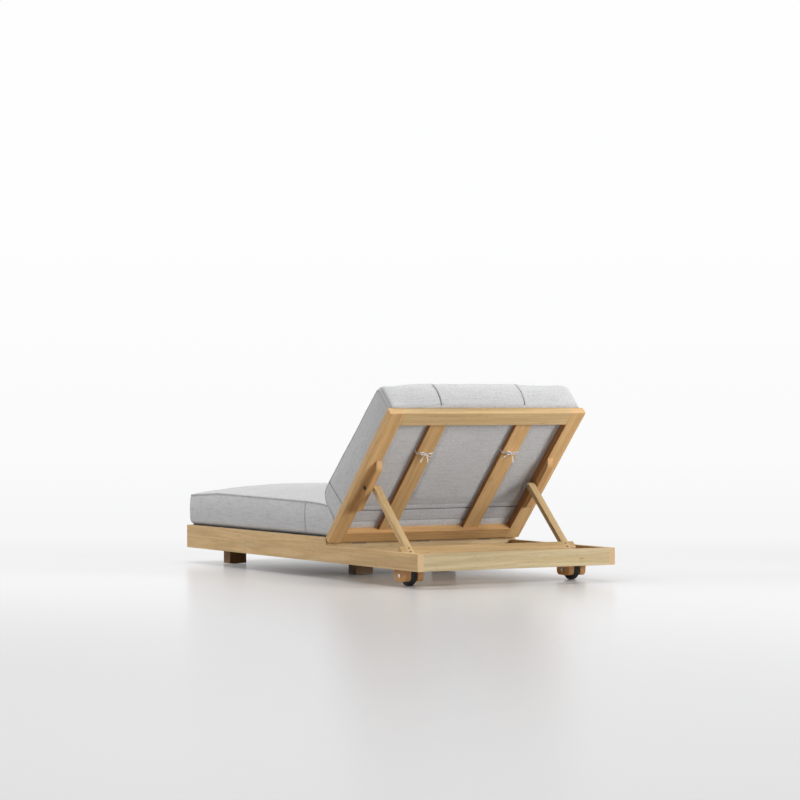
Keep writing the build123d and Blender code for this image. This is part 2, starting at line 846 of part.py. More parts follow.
for side, name in sides:
    save(make_block(side), f"pivot_block_{name}")

board_start = prop_reach + foot_radius - board_height
board_screw_face = Plane(
    origin=(0, pivot_y + foot_radius * prop_sin, pivot_z + foot_radius * prop_cos),
    x_dir=(1, 0, 0),
    z_dir=(0, prop_sin, prop_cos),
)
board_screw_rows = spread(board_start, prop_reach + foot_radius, dowel_share)
board_screw_points = [(arm_inner + arm_width / 2, a) for a in board_screw_rows]
prop_screws = both_sides(
    screws(board_screw_face, board_screw_points, screw_radius, screw_head_radius, board_screw_length)
)
save(prop_screws, "prop_screws")


def make_arm(side):
    pin_clearance = pivot_radius + running_clearance
    with BuildPart() as arm:
        with BuildSketch(prop_side(side * arm_inner)):
            with Locations((prop_reach / 2, 0)):
                SlotCenterToCenter(prop_reach, arm_thickness)
            Circle(pin_clearance, mode=Mode.SUBTRACT)
            with Locations((board_start, 0)):
                Rectangle(board_height, arm_thickness, align=(Align.MIN, Align.MAX), mode=Mode.SUBTRACT)
        extrude(amount=side * arm_width)
        add(prop_screws, mode=Mode.SUBTRACT)
    return arm.part


for side, name in sides:
    save(make_arm(side), f"prop_arm_{name}")

with BuildPart() as prop_cross_board:
    with BuildSketch(prop_side(-board_half)):
        with Locations((board_start, 0)):
            Rectangle(board_height - foot_radius, arm_thickness, align=(Align.MIN, Align.CENTER))
        with Locations((prop_reach, 0)):
            Circle(foot_radius)
    extrude(amount=board_half * 2)
    for lap_x in (arm_inner, -arm_outer):
        with BuildSketch(prop_side(lap_x)):
            with Locations((board_start, 0)):
                Rectangle(board_height, arm_thickness, align=(Align.MIN, Align.MIN))
        extrude(amount=arm_width, mode=Mode.SUBTRACT)
    add(prop_screws, mode=Mode.SUBTRACT)
save(prop_cross_board.part, "prop_cross_board")


# Seat cushion: crowned, with a slanted rear end that fills the corner under the back cushion
def back_point(s, t):
    """A place on the back frame's axes, as (Y, Z)."""
    return (hinge_y + s * back_cos - t * back_sin, hinge_z + s * back_sin + t * back_cos)


cushion_half = half_width - cushion_inset
seat_foot = -half_length + cushion_inset
seat_tip = back_point(back_start - soft_gap, frame_front + soft_gap)
seat_rear_z = rail_top + seat_rear_height
seat_rear_t = (seat_rear_z - hinge_z - (back_start - soft_gap) * back_sin) / back_cos
seat_rear = back_point(back_start - soft_gap, seat_rear_t)
seat_heel_s = (rail_top - hinge_z - (frame_front + soft_gap) * back_cos) / back_sin
seat_heel = back_point(seat_heel_s, frame_front + soft_gap)
seat_middle_y = (seat_foot + seat_rear[0]) / 2
seat_crown_z = rail_top + seat_crown_height
seat_front_top = (seat_foot, rail_top + seat_foot_height)

with BuildPart() as seat_cushion:
    with BuildSketch(Plane.YZ) as seat_profile:
        with BuildLine():
            Polyline(seat_front_top, (seat_foot, rail_top), seat_heel, seat_tip, seat_rear)
            ThreePointArc(seat_rear, (seat_middle_y, seat_crown_z), seat_front_top)
        make_face()
        fillet(seat_profile.vertices().sort_by(Axis.X)[:2], seat_edge_round)
        fillet(seat_profile.vertices().sort_by(Axis.X)[-2:], seat_tip_round)
    extrude(amount=cushion_half, both=True)
    with BuildSketch(Plane.XZ) as seat_front:
        edge_x = cushion_half - seat_side_bulge
        edge_z = rail_top + seat_edge_height
        bulge_z = rail_top + seat_edge_height / 2
        with BuildLine():
            Line((-edge_x, rail_top), (edge_x, rail_top))
            ThreePointArc((edge_x, rail_top), (cushion_half, bulge_z), (edge_x, edge_z))
            ThreePointArc((edge_x, edge_z), (0, seat_crown_z), (-edge_x, edge_z))
            ThreePointArc((-edge_x, edge_z), (-cushion_half, bulge_z), (-edge_x, rail_top))
        make_face()
        fillet(seat_front.vertices().sort_by(Axis.Y)[-2:], seat_edge_round)
    extrude(amount=length, both=True, mode=Mode.INTERSECT)
    with BuildSketch(Plane.XY.offset(floor_gap)) as seat_plan:
        drawn_x = cushion_half - seat_draw_in
        foot_left = (cushion_half, seat_foot)
        foot_right = (-cushion_half, seat_foot)
        head_left = (cushion_half, half_length)
        head_right = (-cushion_half, half_length)
        with BuildLine():
            Line(foot_right, foot_left)
            ThreePointArc(foot_left, (drawn_x, seat_middle_y), head_left)
            Line(head_left, head_right)
            ThreePointArc(head_right, (-drawn_x, seat_middle_y), foot_right)
        make_face()
        fillet(seat_plan.vertices().sort_by(Axis.Y)[:2], seat_corner_round)
    extrude(amount=half_width, mode=Mode.INTERSECT)
save(seat_cushion.part, "seat_cushion")

# Back cushion: three sewn channels, crowned, with drawn-in sides and rounded ends
back_end = frame_top + back_overhang
back_side_t = frame_front + back_edge_height
back_seam_t = frame_front + back_seam_height
back_crown_t = frame_front + back_crown_height
taper_slope = tan(radians(back_taper))
drawn_half = cushion_half - back_draw_in
back_middle_s = (back_start + back_end) / 2
back_side_s = back_end - back_side_setback
taper_angle = radians(recline_angle - back_taper)
taper_way = (0, cos(taper_angle), sin(taper_angle))


def channel_arcs(half_span, edge, seam, crown):
    """Three arcs across the cushion that meet at the two seams, from +x to -x."""
    outer_lobe = (half_span + back_seam_x) / 2
    ThreePointArc((half_span, edge), (outer_lobe, crown), (back_seam_x, seam))
    ThreePointArc((back_seam_x, seam), (0, crown), (-back_seam_x, seam))
    ThreePointArc((-back_seam_x, seam), (-outer_lobe, crown), (-half_span, edge))


with BuildPart() as back_cushion:
    with BuildSketch(back_side(0)) as side_view:
        with BuildLine():
            Polyline(
                (back_start, frame_front),
                (back_end, frame_front),
                (back_end, back_crown_t - back_end * taper_slope),
                (back_start, back_crown_t - back_start * taper_slope),
                close=True,
            )
        make_face()
        fillet(side_view.vertices().sort_by(Axis.Y)[:2], back_heel_round)
        fillet(side_view.vertices().sort_by(Axis.Y)[-2:].sort_by(Axis.X)[:1], back_heel_front_round)
        fillet(side_view.vertices().sort_by(Axis.Y)[-2:].sort_by(Axis.X)[-1:], back_nose_round)
    extrude(amount=half_width, both=True)
    with BuildSketch(Plane(origin=(0, hinge_y, hinge_z), x_dir=(-1, 0, 0), z_dir=taper_way)):
        with BuildLine():
            Polyline(
                (-cushion_half, back_side_t),
                (-cushion_half, -half_width),
                (cushion_half, -half_width),
                (cushion_half, back_side_t),
            )
            channel_arcs(cushion_half, back_side_t, back_seam_t, back_crown_t + edge_round)
        make_face()
    extrude(amount=length, mode=Mode.INTERSECT)
    with BuildSketch(back_face(0)):
        with BuildLine():
            channel_arcs(cushion_half, back_side_s, back_end - back_lobe, back_end + edge_round)
            ThreePointArc((-cushion_half, back_side_s), (-drawn_half, back_middle_s), (-cushion_half, 0))
            Line((-cushion_half, 0), (cushion_half, 0))
            ThreePointArc((cushion_half, 0), (drawn_half, back_middle_s), (cushion_half, back_side_s))
        make_face()
    extrude(amount=half_width, mode=Mode.INTERSECT)
save(back_cushion.part, "back_cushion")


# Ties: sewn to the back cushion beside a slat, brought round the slat and tied in a bow behind it
def make_tie(side):
    strap_half = back_slat_width / 2 + tie_gap + tie_thickness
    strap_rear = slat_rear - tie_gap - tie_thickness
    bow_face = back_face(strap_rear - bow_thickness)
    with BuildPart() as tie:
        with BuildSketch(back_section(tie_distance - tie_width / 2)):
            with Locations((-side * back_slat_x, strap_rear)):
                Rectangle(strap_half * 2, frame_front - strap_rear, align=(Align.CENTER, Align.MIN))
            with Locations((-side * back_slat_x, strap_rear + tie_thickness)):
                Rectangle(
                    (strap_half - tie_thickness) * 2,
                    frame_front - strap_rear,
                    align=(Align.CENTER, Align.MIN),
                    mode=Mode.SUBTRACT,
                )
        extrude(amount=tie_width)
        with BuildSketch(bow_face):
            with Locations((side * back_slat_x, tie_distance)):
                Circle(knot_radius)
            with Locations(*[(side * back_slat_x + bow_spread * i, tie_distance) for i in (-1, 1)]):
                Ellipse(bow_loop_length / 2, bow_loop_width / 2)
            for i in (-1, 1):
                with Locations(Location((side * back_slat_x, tie_distance), tail_angle * i)):
                    Rectangle(tie_width, tail_length, align=(Align.CENTER, Align.MAX))
        extrude(amount=bow_thickness)
    return tie.part


for side, name in sides:
    save(make_tie(side), f"cushion_tie_{name}")
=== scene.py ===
# %% [markdown]
# # Double chaise lounger, seen from behind
#
# The CAD model gives every board, joint and fastener its place. This script loads that model as a
# fixed frame, gives the boards their timber, and builds the soft parts: a crowned seat cushion, a
# back cushion with two sewn channels between three lobes, and the tapes that tie it to the slats.

import math
from types import SimpleNamespace

import bmesh
import bpy
import mathutils
import numpy as np
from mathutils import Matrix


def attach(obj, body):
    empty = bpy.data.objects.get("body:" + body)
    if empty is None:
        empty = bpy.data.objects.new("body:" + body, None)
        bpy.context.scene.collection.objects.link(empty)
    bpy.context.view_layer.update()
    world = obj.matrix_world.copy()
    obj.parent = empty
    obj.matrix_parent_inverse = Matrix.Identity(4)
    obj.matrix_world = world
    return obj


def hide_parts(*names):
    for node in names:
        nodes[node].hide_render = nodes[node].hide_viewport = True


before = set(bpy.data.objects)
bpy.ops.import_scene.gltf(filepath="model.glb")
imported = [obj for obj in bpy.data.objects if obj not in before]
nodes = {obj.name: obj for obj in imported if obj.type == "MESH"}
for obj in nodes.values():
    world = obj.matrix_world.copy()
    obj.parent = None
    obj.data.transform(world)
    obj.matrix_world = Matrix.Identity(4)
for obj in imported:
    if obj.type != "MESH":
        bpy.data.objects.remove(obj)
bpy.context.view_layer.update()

# %% [markdown]
# ## Camera
#
# The photograph is taken from far away with a long lens, level with the middle of the picture. That
# keeps upright lines upright. The camera stands behind the head end, a little to the left side.


# %% Camera
def put(name, data):
    """A new object in the scene, at the origin."""
    made = bpy.data.objects.new(name, data)
    bpy.context.scene.collection.objects.link(made)
    return made


camera_place = (6.1738, 10.6330, 0.7905)
camera_turn = math.radians(149.62)
lens_mm = 119.8
sensor_mm = 36.0
camera_data = bpy.data.cameras.new("photo_camera")
camera_data.lens = lens_mm
camera_data.sensor_width = sensor_mm
camera = put("photo_camera", camera_data)
camera.location = camera_place
camera.rotation_euler = (math.pi / 2, 0, camera_turn)
bpy.context.scene.camera = camera
bpy.context.scene.view_settings.view_transform = "Standard"
print("camera", camera_place, "lens", lens_mm)

# %% [markdown]
# ## Helpers for materials
#
# Every finish below is a small graph of nodes. A few helpers keep the graphs short: one starts a
# material with its surface shader, one adds a node, sets its values and joins its inputs, and the
# others are the small steps that every finish uses, such as noise, a colour ramp or a bump.


# %% Material helpers
def new_material(name):
    """An empty node material with its principled shader, ready for a graph."""
    made = bpy.data.materials.new(name)
    made.use_nodes = True
    tree = made.node_tree
    tree.nodes.clear()
    output = tree.nodes.new("ShaderNodeOutputMaterial")
    shader = tree.nodes.new("ShaderNodeBsdfPrincipled")
    tree.links.new(shader.outputs["BSDF"], output.inputs["Surface"])
    return made, tree, shader


def add(tree, kind, settings=None, inputs=None, family="ShaderNode"):
    """One node: settings are its own properties, inputs are numbers, colours or sockets."""
    node = tree.nodes.new(family + kind)
    for key, value in (settings or {}).items():
        setattr(node, key, value)
    for key, value in (inputs or {}).items():
        socket = node.inputs[key]
        if isinstance(value, bpy.types.NodeSocket):
            tree.links.new(value, socket)
        else:
            socket.default_value = value
    return node


def math_node(tree, operation, first, second=0.5, third=0.5):
    """The result of one sum on sockets or numbers."""
    inputs = {0: first, 1: second, 2: third}
    return add(tree, "Math", {"operation": operation}, inputs).outputs[0]


def one_of(tree, vector, axis):
    """One of a vector's three numbers."""
    return add(tree, "SeparateXYZ", None, {0: vector}).outputs[axis]


def stretch(tree, vector, factors):
    """A vector times a factor for each axis."""
    return add(tree, "VectorMath", {"operation": "MULTIPLY"}, {0: vector, 1: factors}).outputs[0]


def on_axes(tree, vector, turn):
    """A vector as it reads on axes turned by three angles."""
    inputs = {"Vector": vector, "Rotation": turn}
    return add(tree, "Mapping", {"vector_type": "TEXTURE"}, inputs).outputs[0]


# %% Steps of a finish
def span(tree, value, start, end, low=0.0, high=1.0, kind="LINEAR"):
    """A value that goes from low to high while another goes from start to end."""
    names = ("Value", "From Min", "From Max", "To Min", "To Max")
    inputs = dict(zip(names, (value, start, end, low, high)))
    return add(tree, "MapRange", {"interpolation_type": kind}, inputs).outputs[0]


def noise(tree, place, scale, detail, distortion=0.0):
    """Soft noise at a place, from 0 to 1."""
    inputs = {"Vector": place, "Scale": scale, "Detail": detail, "Distortion": distortion}
    return add(tree, "TexNoise", None, inputs).outputs[0]


def ramp(tree, value, stops):
    """A colour ramp through (place, grey or colour) stops."""
    node = add(tree, "ValToRGB", None, {"Fac": value})
    elements = node.color_ramp.elements
    while len(elements) < len(stops):
        elements.new(0.5)
    for element, (place, colour) in zip(elements, stops):
        element.position = place
        rgb = colour if isinstance(colour, tuple) else (colour,) * 3
        element.color = (*rgb, 1)
    return node.outputs["Color"]


def mix_colour(tree, share, first, second, blend="MIX"):
    """Two colours mixed by a share."""
    settings = {"data_type": "RGBA", "blend_type": blend}
    inputs = {0: share, 6: first, 7: second}
    return add(tree, "Mix", settings, inputs).outputs[2]


def shaded(tree, base, share, value, stops):
    """A colour multiplied, by a share, with the tones that a ramp gives to a value."""
    return mix_colour(tree, share, base, ramp(tree, value, stops), "MULTIPLY")


def emboss(tree, shader, height, strength, depth):
    """Bump on a shader from a height; depth is in metres."""
    inputs = {"Height": height, "Strength": strength, "Distance": depth}
    tree.links.new(add(tree, "Bump", None, inputs).outputs[0], shader.inputs["Normal"])


# %% [markdown]
# ## Studio
#
# The object stands on a pale floor that fades to white behind it. A big soft lamp stands beyond the
# head end, on the camera's right, a wide one hangs overhead and a third stands on the left side, so
# the head end and the tops are the lightest faces and the long side is darker. The world fills the
# shadows, more from above and from the far side. Rays that the camera sends straight into the world
# see plain white, which doesn't add light to the object.


# %% Lamps
def soft_lamp(name, place, aim, size, power):
    """A square area lamp at a place, turned towards a point."""
    data = bpy.data.lights.new(name, "AREA")
    data.shape = "SQUARE"
    data.size = size
    data.energy = power
    lamp = put(name, data)
    way = [a - b for a, b in zip(aim, place)]
    pitch = math.atan2(way[2], math.hypot(way[0], way[1]))
    lamp.rotation_euler = (math.pi / 2 + pitch, 0, math.atan2(-way[0], way[1]))
    lamp.location = place
    print(name, power, "watts")


soft_lamp("head_end_lamp", (-3.6, 6.4, 2.1), (0, 0.3, 0.3), 2.8, 362)
soft_lamp("overhead_lamp", (0.3, -0.3, 5.0), (0, 0, 0.2), 3.2, 152)
soft_lamp("left_lamp", (5.6, -2.6, 3.0), (0, 0, 0.3), 2.6, 140)

# %% World
light_all_round, light_from_above, light_from_far = 0.03, 0.42, 0.36
horizon_white, white_above = 0.975, 0.06
studio_white = (0.99, 0.99, 0.995, 1)

world = bpy.data.worlds.new("studio")
world.use_nodes = True
bpy.context.scene.world = world
tree = world.node_tree
tree.nodes.clear()
way = add(tree, "TexCoord").outputs["Generated"]
height = one_of(tree, way, "Z")
camera_way = (-math.sin(camera_turn), math.cos(camera_turn), 0)
agreement = add(tree, "VectorMath", {"operation": "DOT_PRODUCT"}, {0: way, 1: camera_way})
far_side = math_node(tree, "MAXIMUM", agreement.outputs["Value"], 0.0)
far_side = math_node(tree, "MULTIPLY", math_node(tree, "POWER", far_side, 2.0), light_from_far)
above = math_node(tree, "MULTIPLY", math_node(tree, "MAXIMUM", height, 0.0), light_from_above)
brightness = math_node(tree, "ADD", math_node(tree, "ADD", far_side, above), light_all_round)
sky = add(tree, "Background", None, {"Color": (1, 1, 1, 1), "Strength": brightness})
seen_tone = span(tree, height, 0.0, white_above, horizon_white)
white = add(tree, "Background", None, {"Color": studio_white, "Strength": seen_tone})


def seen_directly(tree):
    """1 for camera, mirror and see-through rays, 0 for the rays that carry light."""
    path = add(tree, "LightPath").outputs
    seen = math_node(tree, "MAXIMUM", path["Is Camera Ray"], path["Is Glossy Ray"])
    return math_node(tree, "MAXIMUM", seen, path["Is Transmission Ray"])


inputs = {0: seen_directly(tree), 1: sky.outputs[0], 2: white.outputs[0]}
lit_or_seen = add(tree, "MixShader", None, inputs).outputs[0]
add(tree, "OutputWorld", None, {"Surface": lit_or_seen})
print("light from above", light_from_above, "and from the far side", light_from_far)


# %% Floor
def new_mesh(name, points, faces=(), edges=()):
    """A mesh from its points and its faces or edges."""
    mesh = bpy.data.meshes.new(name)
    faces = faces.tolist() if isinstance(faces, np.ndarray) else faces
    mesh.from_pydata(np.asarray(points, float).tolist(), edges, faces)
    return mesh


floor_half = 40.0
floor_grey = (0.72, 0.72, 0.73, 1)
bounced_grey = (0.42, 0.42, 0.425, 1)
floor_white = (0.99, 0.99, 1, 1)
floor_gloss = 0.25
white_from = 9.5
corners = [(-1, -1, 0), (1, -1, 0), (1, 1, 0), (-1, 1, 0)]
floor = put("floor", new_mesh("floor", floor_half * np.array(corners), [(0, 1, 2, 3)]))
print("floor", 2 * floor_half, "metres square")

# %% Floor paint
floor_paint, tree, shader = new_material("floor_paint")
shader.inputs["Roughness"].default_value = floor_gloss
bounced = add(tree, "LightPath").outputs["Is Diffuse Ray"]
floor_tone = mix_colour(tree, bounced, floor_grey, bounced_grey)
tree.links.new(floor_tone, shader.inputs["Base Color"])
place = add(tree, "TexCoord").outputs["Object"]
depth = one_of(tree, on_axes(tree, place, (0, 0, camera_turn + math.pi / 2)), "X")
radius = add(tree, "VectorMath", {"operation": "LENGTH"}, {0: place}).outputs["Value"]
# It fades to white behind the object, in part before it, and all round it, in metres.
behind = span(tree, depth, -0.6, 3.4, kind="SMOOTHSTEP")
near = span(tree, depth, -2.0, -7.0, high=0.45, kind="SMOOTHSTEP")
around = span(tree, radius, 5.0, white_from, kind="SMOOTHSTEP")
faded = math_node(tree, "MAXIMUM", math_node(tree, "MAXIMUM", behind, near), around)
fade_tone = span(tree, depth, 2.0, 22.0, 0.935, 0.975)
glow = add(tree, "Emission", None, {"Color": floor_white, "Strength": fade_tone})
share = math_node(tree, "MULTIPLY", faded, seen_directly(tree))
both = add(tree, "MixShader", None, {0: share, 1: shader.outputs[0], 2: glow.outputs[0]})
tree.links.new(both.outputs[0], tree.nodes["Material Output"].inputs["Surface"])
floor.data.materials.append(floor_paint)
print("floor painted, white", white_from, "metres from the middle")

# %% [markdown]
# ## Timber
#
# The boards are oiled teak-like hardwood: honey brown, with fine fibres, soft cathedral bands and
# a rare small knot. Real boards never share one picture of grain, so each board gets a material of
# its own, cut from a different place of the same pattern. The pattern is stretched along the board,
# and the ends of the board, where the grain meets the surface head on, show rings. Light and shade
# are painted into the boards too: those that stand in shade are painted darker and warmer, lit ones
# such as the head rail paler, and the narrow sides of the back's boards that face its recesses
# darker.

# %% Timber
recline = 46.3
prop_slope = -43.095
grain_turns = {
    "x": (0, 0, 0),
    "y": (0, 0, math.pi / 2),
    "z": (0, -math.pi / 2, 0),
    "back": (0, -math.radians(recline), math.pi / 2),
    "prop": (0, -math.radians(prop_slope), math.pi / 2),
}
ring_count = 46
faces_that_way = 0.8
# Painted shade for the sides of the back's boards that face into its recesses.
painted_recess_shade = (0.60, 0.44, 0.34, 1)


def timber(name, grain, seed, light=1.0, warmth=1.0, painted_shade_sides=()):
    """Hardwood with its grain along one of grain_turns; seed picks the cut of the log.

    painted_shade_sides names the long narrow sides, -1 or 1 along X, that are painted darker as
    shade, for the recesses they face. light and warmth carry painted light and shade as well,
    besides a small random difference in tone."""
    made, tree, shader = new_material(name)
    along = on_axes(tree, add(tree, "TexCoord").outputs["Object"], grain_turns[grain])
    shift = (seed * 3.17 % 5, seed * 1.31 % 3, seed * 2.23 % 3)
    cut = add(tree, "VectorMath", {"operation": "ADD"}, {0: along, 1: shift}).outputs[0]

    def fibrous(along, across, scale=1.0, detail=1.0, distortion=0.0):
        place = stretch(tree, cut, (along, across, across))
        return noise(tree, place, scale, detail, distortion)

    def tone(r, g, b):
        return (r * light * warmth, g * light, b * light / warmth)

    bands = fibrous(0.35, 9, 1.6, 3.0, 0.6)
    rings = math_node(tree, "SINE", math_node(tree, "MULTIPLY", bands, ring_count))
    rings = math_node(tree, "MULTIPLY_ADD", rings, 0.5, 0.5)
    streaks = fibrous(1.6, 60, detail=4.0)
    fibres = fibrous(9, 520, detail=2.0)
    base = ramp(tree, rings, [(0.0, tone(0.58, 0.385, 0.178)), (1.0, tone(0.665, 0.458, 0.228))])
    base = shaded(tree, base, 0.7, streaks, [(0.34, 0.88), (0.62, 1.04)])
    fleck_stops = [(0.27, (0.66, 0.55, 0.46)), (0.36, 1.0)]
    base = shaded(tree, base, 0.55, fibrous(26, 260), fleck_stops)
    base = shaded(tree, base, 0.6, fibres, [(0.36, 0.84), (0.5, 1.0)])
    base = shaded(tree, base, 0.8, fibrous(1.2, 5), [(0.3, 0.86), (0.7, 1.1)])
    inputs = {"Vector": stretch(tree, cut, (2.2, 7, 7)), "Scale": 1.0, "Randomness": 1.0}
    knots = add(tree, "TexVoronoi", {"feature": "F1"}, inputs).outputs["Distance"]
    base = shaded(tree, base, 1.0, knots, [(0.02, (0.36, 0.22, 0.13)), (0.06, 1.0)])

    normal = add(tree, "TexCoord").outputs["Normal"]
    end = math_node(tree, "ABSOLUTE", one_of(tree, on_axes(tree, normal, grain_turns[grain]), "X"))
    inputs = {"Vector": cut, "Scale": 55, "Distortion": 1.5}
    arcs = add(tree, "TexWave", {"wave_type": "RINGS", "rings_direction": "X"}, inputs)
    pores = add(tree, "TexNoise", None, {"Vector": cut, "Scale": 900})
    end_mix = mix_colour(tree, 0.35, arcs.outputs["Color"], pores.outputs["Color"])
    end_stops = [(0.2, tone(0.55, 0.37, 0.185)), (0.8, tone(0.66, 0.47, 0.26))]
    at_end = math_node(tree, "GREATER_THAN", end, faces_that_way)
    base = mix_colour(tree, at_end, base, ramp(tree, end_mix, end_stops))
    # Painted shade: the sides in painted_shade_sides are darkened, as the recesses they face lie in
    # shade.
    for side in painted_shade_sides:
        facing = math_node(tree, "MULTIPLY", one_of(tree, normal, "X"), side)
        on_side = math_node(tree, "GREATER_THAN", facing, faces_that_way)
        base = mix_colour(tree, on_side, base, painted_recess_shade, "MULTIPLY")
    tree.links.new(base, shader.inputs["Base Color"])
    rough = span(tree, streaks, 0.0, 1.0, 0.46, 0.62)
    tree.links.new(rough, shader.inputs["Roughness"])
    emboss(tree, shader, math_node(tree, "ADD", fibres, streaks), 0.25, 0.0006)
    shader.inputs["Specular IOR Level"].default_value = 0.3
    return made


# %% Timber on the boards
def pairs(*names):
    """The left and the right one of each name."""
    return [f"{name}_{side}" for name in names for side in ("left", "right")]


def dress(node, material):
    """Gives a CAD node's object one material."""
    if not nodes[node].material_slots:
        nodes[node].data.materials.append(material)
    for slot in nodes[node].material_slots:
        slot.material = material


crossing = ["foot_rail", "head_rail", "hinge_beam", "foot_bearer", "middle_bearer", "wheel_beam"]
crossing += ["seat_slats", "back_top_rail", "back_bottom_rail", "prop_cross_board"]
lengthwise = pairs("side_rail", "slat_ledger") + ["seat_spine"] + pairs("prop_rack")
cheeks = [f"{cheek}_{place}" for cheek in pairs("wheel_cheek") for place in ("outer", "inner")]
boards = {
    "x": crossing,
    "y": lengthwise + cheeks,
    "z": pairs("leg_foot", "leg_middle"),
    "back": pairs("back_stile", "back_slat", "pivot_block"),
    "prop": pairs("prop_arm"),
}

# How a name starts: depth of tone and warmth, which paint light and shade into the board, and the
# sides that get painted shade. The lit head rail is painted paler, the legs, cheeks and lower
# back boards darker and warmer for the shade they stand in.
painted_light_and_shade = {
    "head_rail": (1.09, 0.87, ()),
    "hinge_beam": (1.0, 0.97, ()),
    "wheel_cheek": (0.86, 1.30, ()),
    "leg_middle": (0.20, 1.22, ()),
    "leg_foot": (0.46, 1.26, ()),
    "back_slat": (1.02, 1.10, (-1, 1)),
    "back_stile_left": (1.02, 1.09, (-1,)),
    "back_stile_right": (1.02, 1.09, (1,)),
    "back_bottom_rail": (0.97, 1.17, ()),
    "back_top_rail": (1.03, 0.98, ()),
    "pivot_block": (0.93, 1.18, ()),
    "prop_arm": (1.07, 0.97, ()),
    "": (1.0, 1.0, ()),
}

# %% A cut of the log for each board
cuts = [(grain, node) for grain, names in boards.items() for node in names]
for number, (grain, node) in enumerate(cuts, 1):
    # Painted light and shade for this board; light also adds a small random difference in tone.
    depth, warmth, sides = next(board_lighting for start, board_lighting in painted_light_and_shade.items() if node.startswith(start))
    light = 1.0 + 0.05 * math.sin(number * 2.4)
    dress(node, timber(f"timber_{node}", grain, number, light * depth, warmth, sides))
print("boards with a grain of their own:", len(cuts))

# %% [markdown]
# ## Small hard parts
#
# Dowels are pale beech, the screws and bolts are plain, dark or bronzed steel, the hubs and glides
# are black plastic, and the tyres are black rubber with fine dust on them.


# %% Small hard parts
def grained(name, colour, metallic, roughness, scale, depth, tint=0.12):
    """A plain hard finish with fine surface noise in its colour, gloss and bump."""
    made, tree, shader = new_material(name)
    specks = noise(tree, add(tree, "TexCoord").outputs["Object"], scale, 3.0)
    low = tuple(c * (1 - tint) for c in colour)
    high = tuple(min(1, c * (1 + tint)) for c in colour)
    tree.links.new(ramp(tree, specks, [(0.3, low), (0.7, high)]), shader.inputs["Base Color"])
    rough = span(tree, specks, 0.0, 1.0, roughness - 0.06, roughness + 0.08)
    tree.links.new(rough, shader.inputs["Roughness"])
    shader.inputs["Metallic"].default_value = metallic
    emboss(tree, shader, specks, 0.4, depth)
    return made


steel = grained("stainless_steel", (0.60, 0.60, 0.59), 1.0, 0.32, 900, 0.00005)
dark_steel = grained("darkened_steel", (0.10, 0.095, 0.09), 1.0, 0.42, 900, 0.00005)
bronze = grained("bronzed_steel", (0.20, 0.135, 0.08), 0.6, 0.5, 900, 0.00005)
beech = grained("beech_dowel", (0.66, 0.50, 0.32), 0.0, 0.6, 700, 0.0001)
hub_plastic = grained("hub_plastic", (0.035, 0.035, 0.037), 0.0, 0.42, 1400, 0.00004)
nylon = grained("glide_nylon", (0.05, 0.05, 0.05), 0.0, 0.5, 1200, 0.00004)
rubber = grained("tyre_rubber", (0.022, 0.022, 0.023), 0.0, 0.68, 1600, 0.00006, 0.25)
plug = timber("timber_plug", "y", 41)
plain = ["slat_screws", "leg_screws", "wheel_axles", "axle_nuts", "pivot_nuts", "pivot_spacers"]
bronzed = ["hinge_fixed_leaves", "hinge_moving_leaves", "hinge_fixed_screws"]
bronzed += ["hinge_moving_screws", "hinge_pins", "block_screws", "prop_screws"]
finishes = [
    (steel, plain),
    (dark_steel, ["pivot_bolts"]),
    (bronze, bronzed),
    (beech, ["base_dowels", "frame_dowels"]),
    (hub_plastic, pairs("wheel_hub")),
    (nylon, ["leg_glides"]),
    (rubber, pairs("tyre")),
    (plug, ["rail_screws"]),
]
for finish, parts in finishes:
    for node in parts:
        dress(node, finish)
print("small parts finished:", sum(len(parts) for finish, parts in finishes))

# %% [markdown]
# ## Cushion cloth
#
# The cushions wear a heathered grey outdoor weave. Its threads are uneven, so thin light and dark
# slubs run both ways. The pattern follows each panel of cloth, so it reads the cushion's own UV
# map, which is laid out in metres. Shade is painted into the cloth too: it is darker in the seams'
# grooves and along the seat cushion's tucked lower edge, as each mesh's painted_seam_shade says.

# %% Cushion cloth
thread_pitch = 0.0011
# The cloth's colour is multiplied down to this where the painted seam shade is deepest.
darkest_painted_shade = 0.10


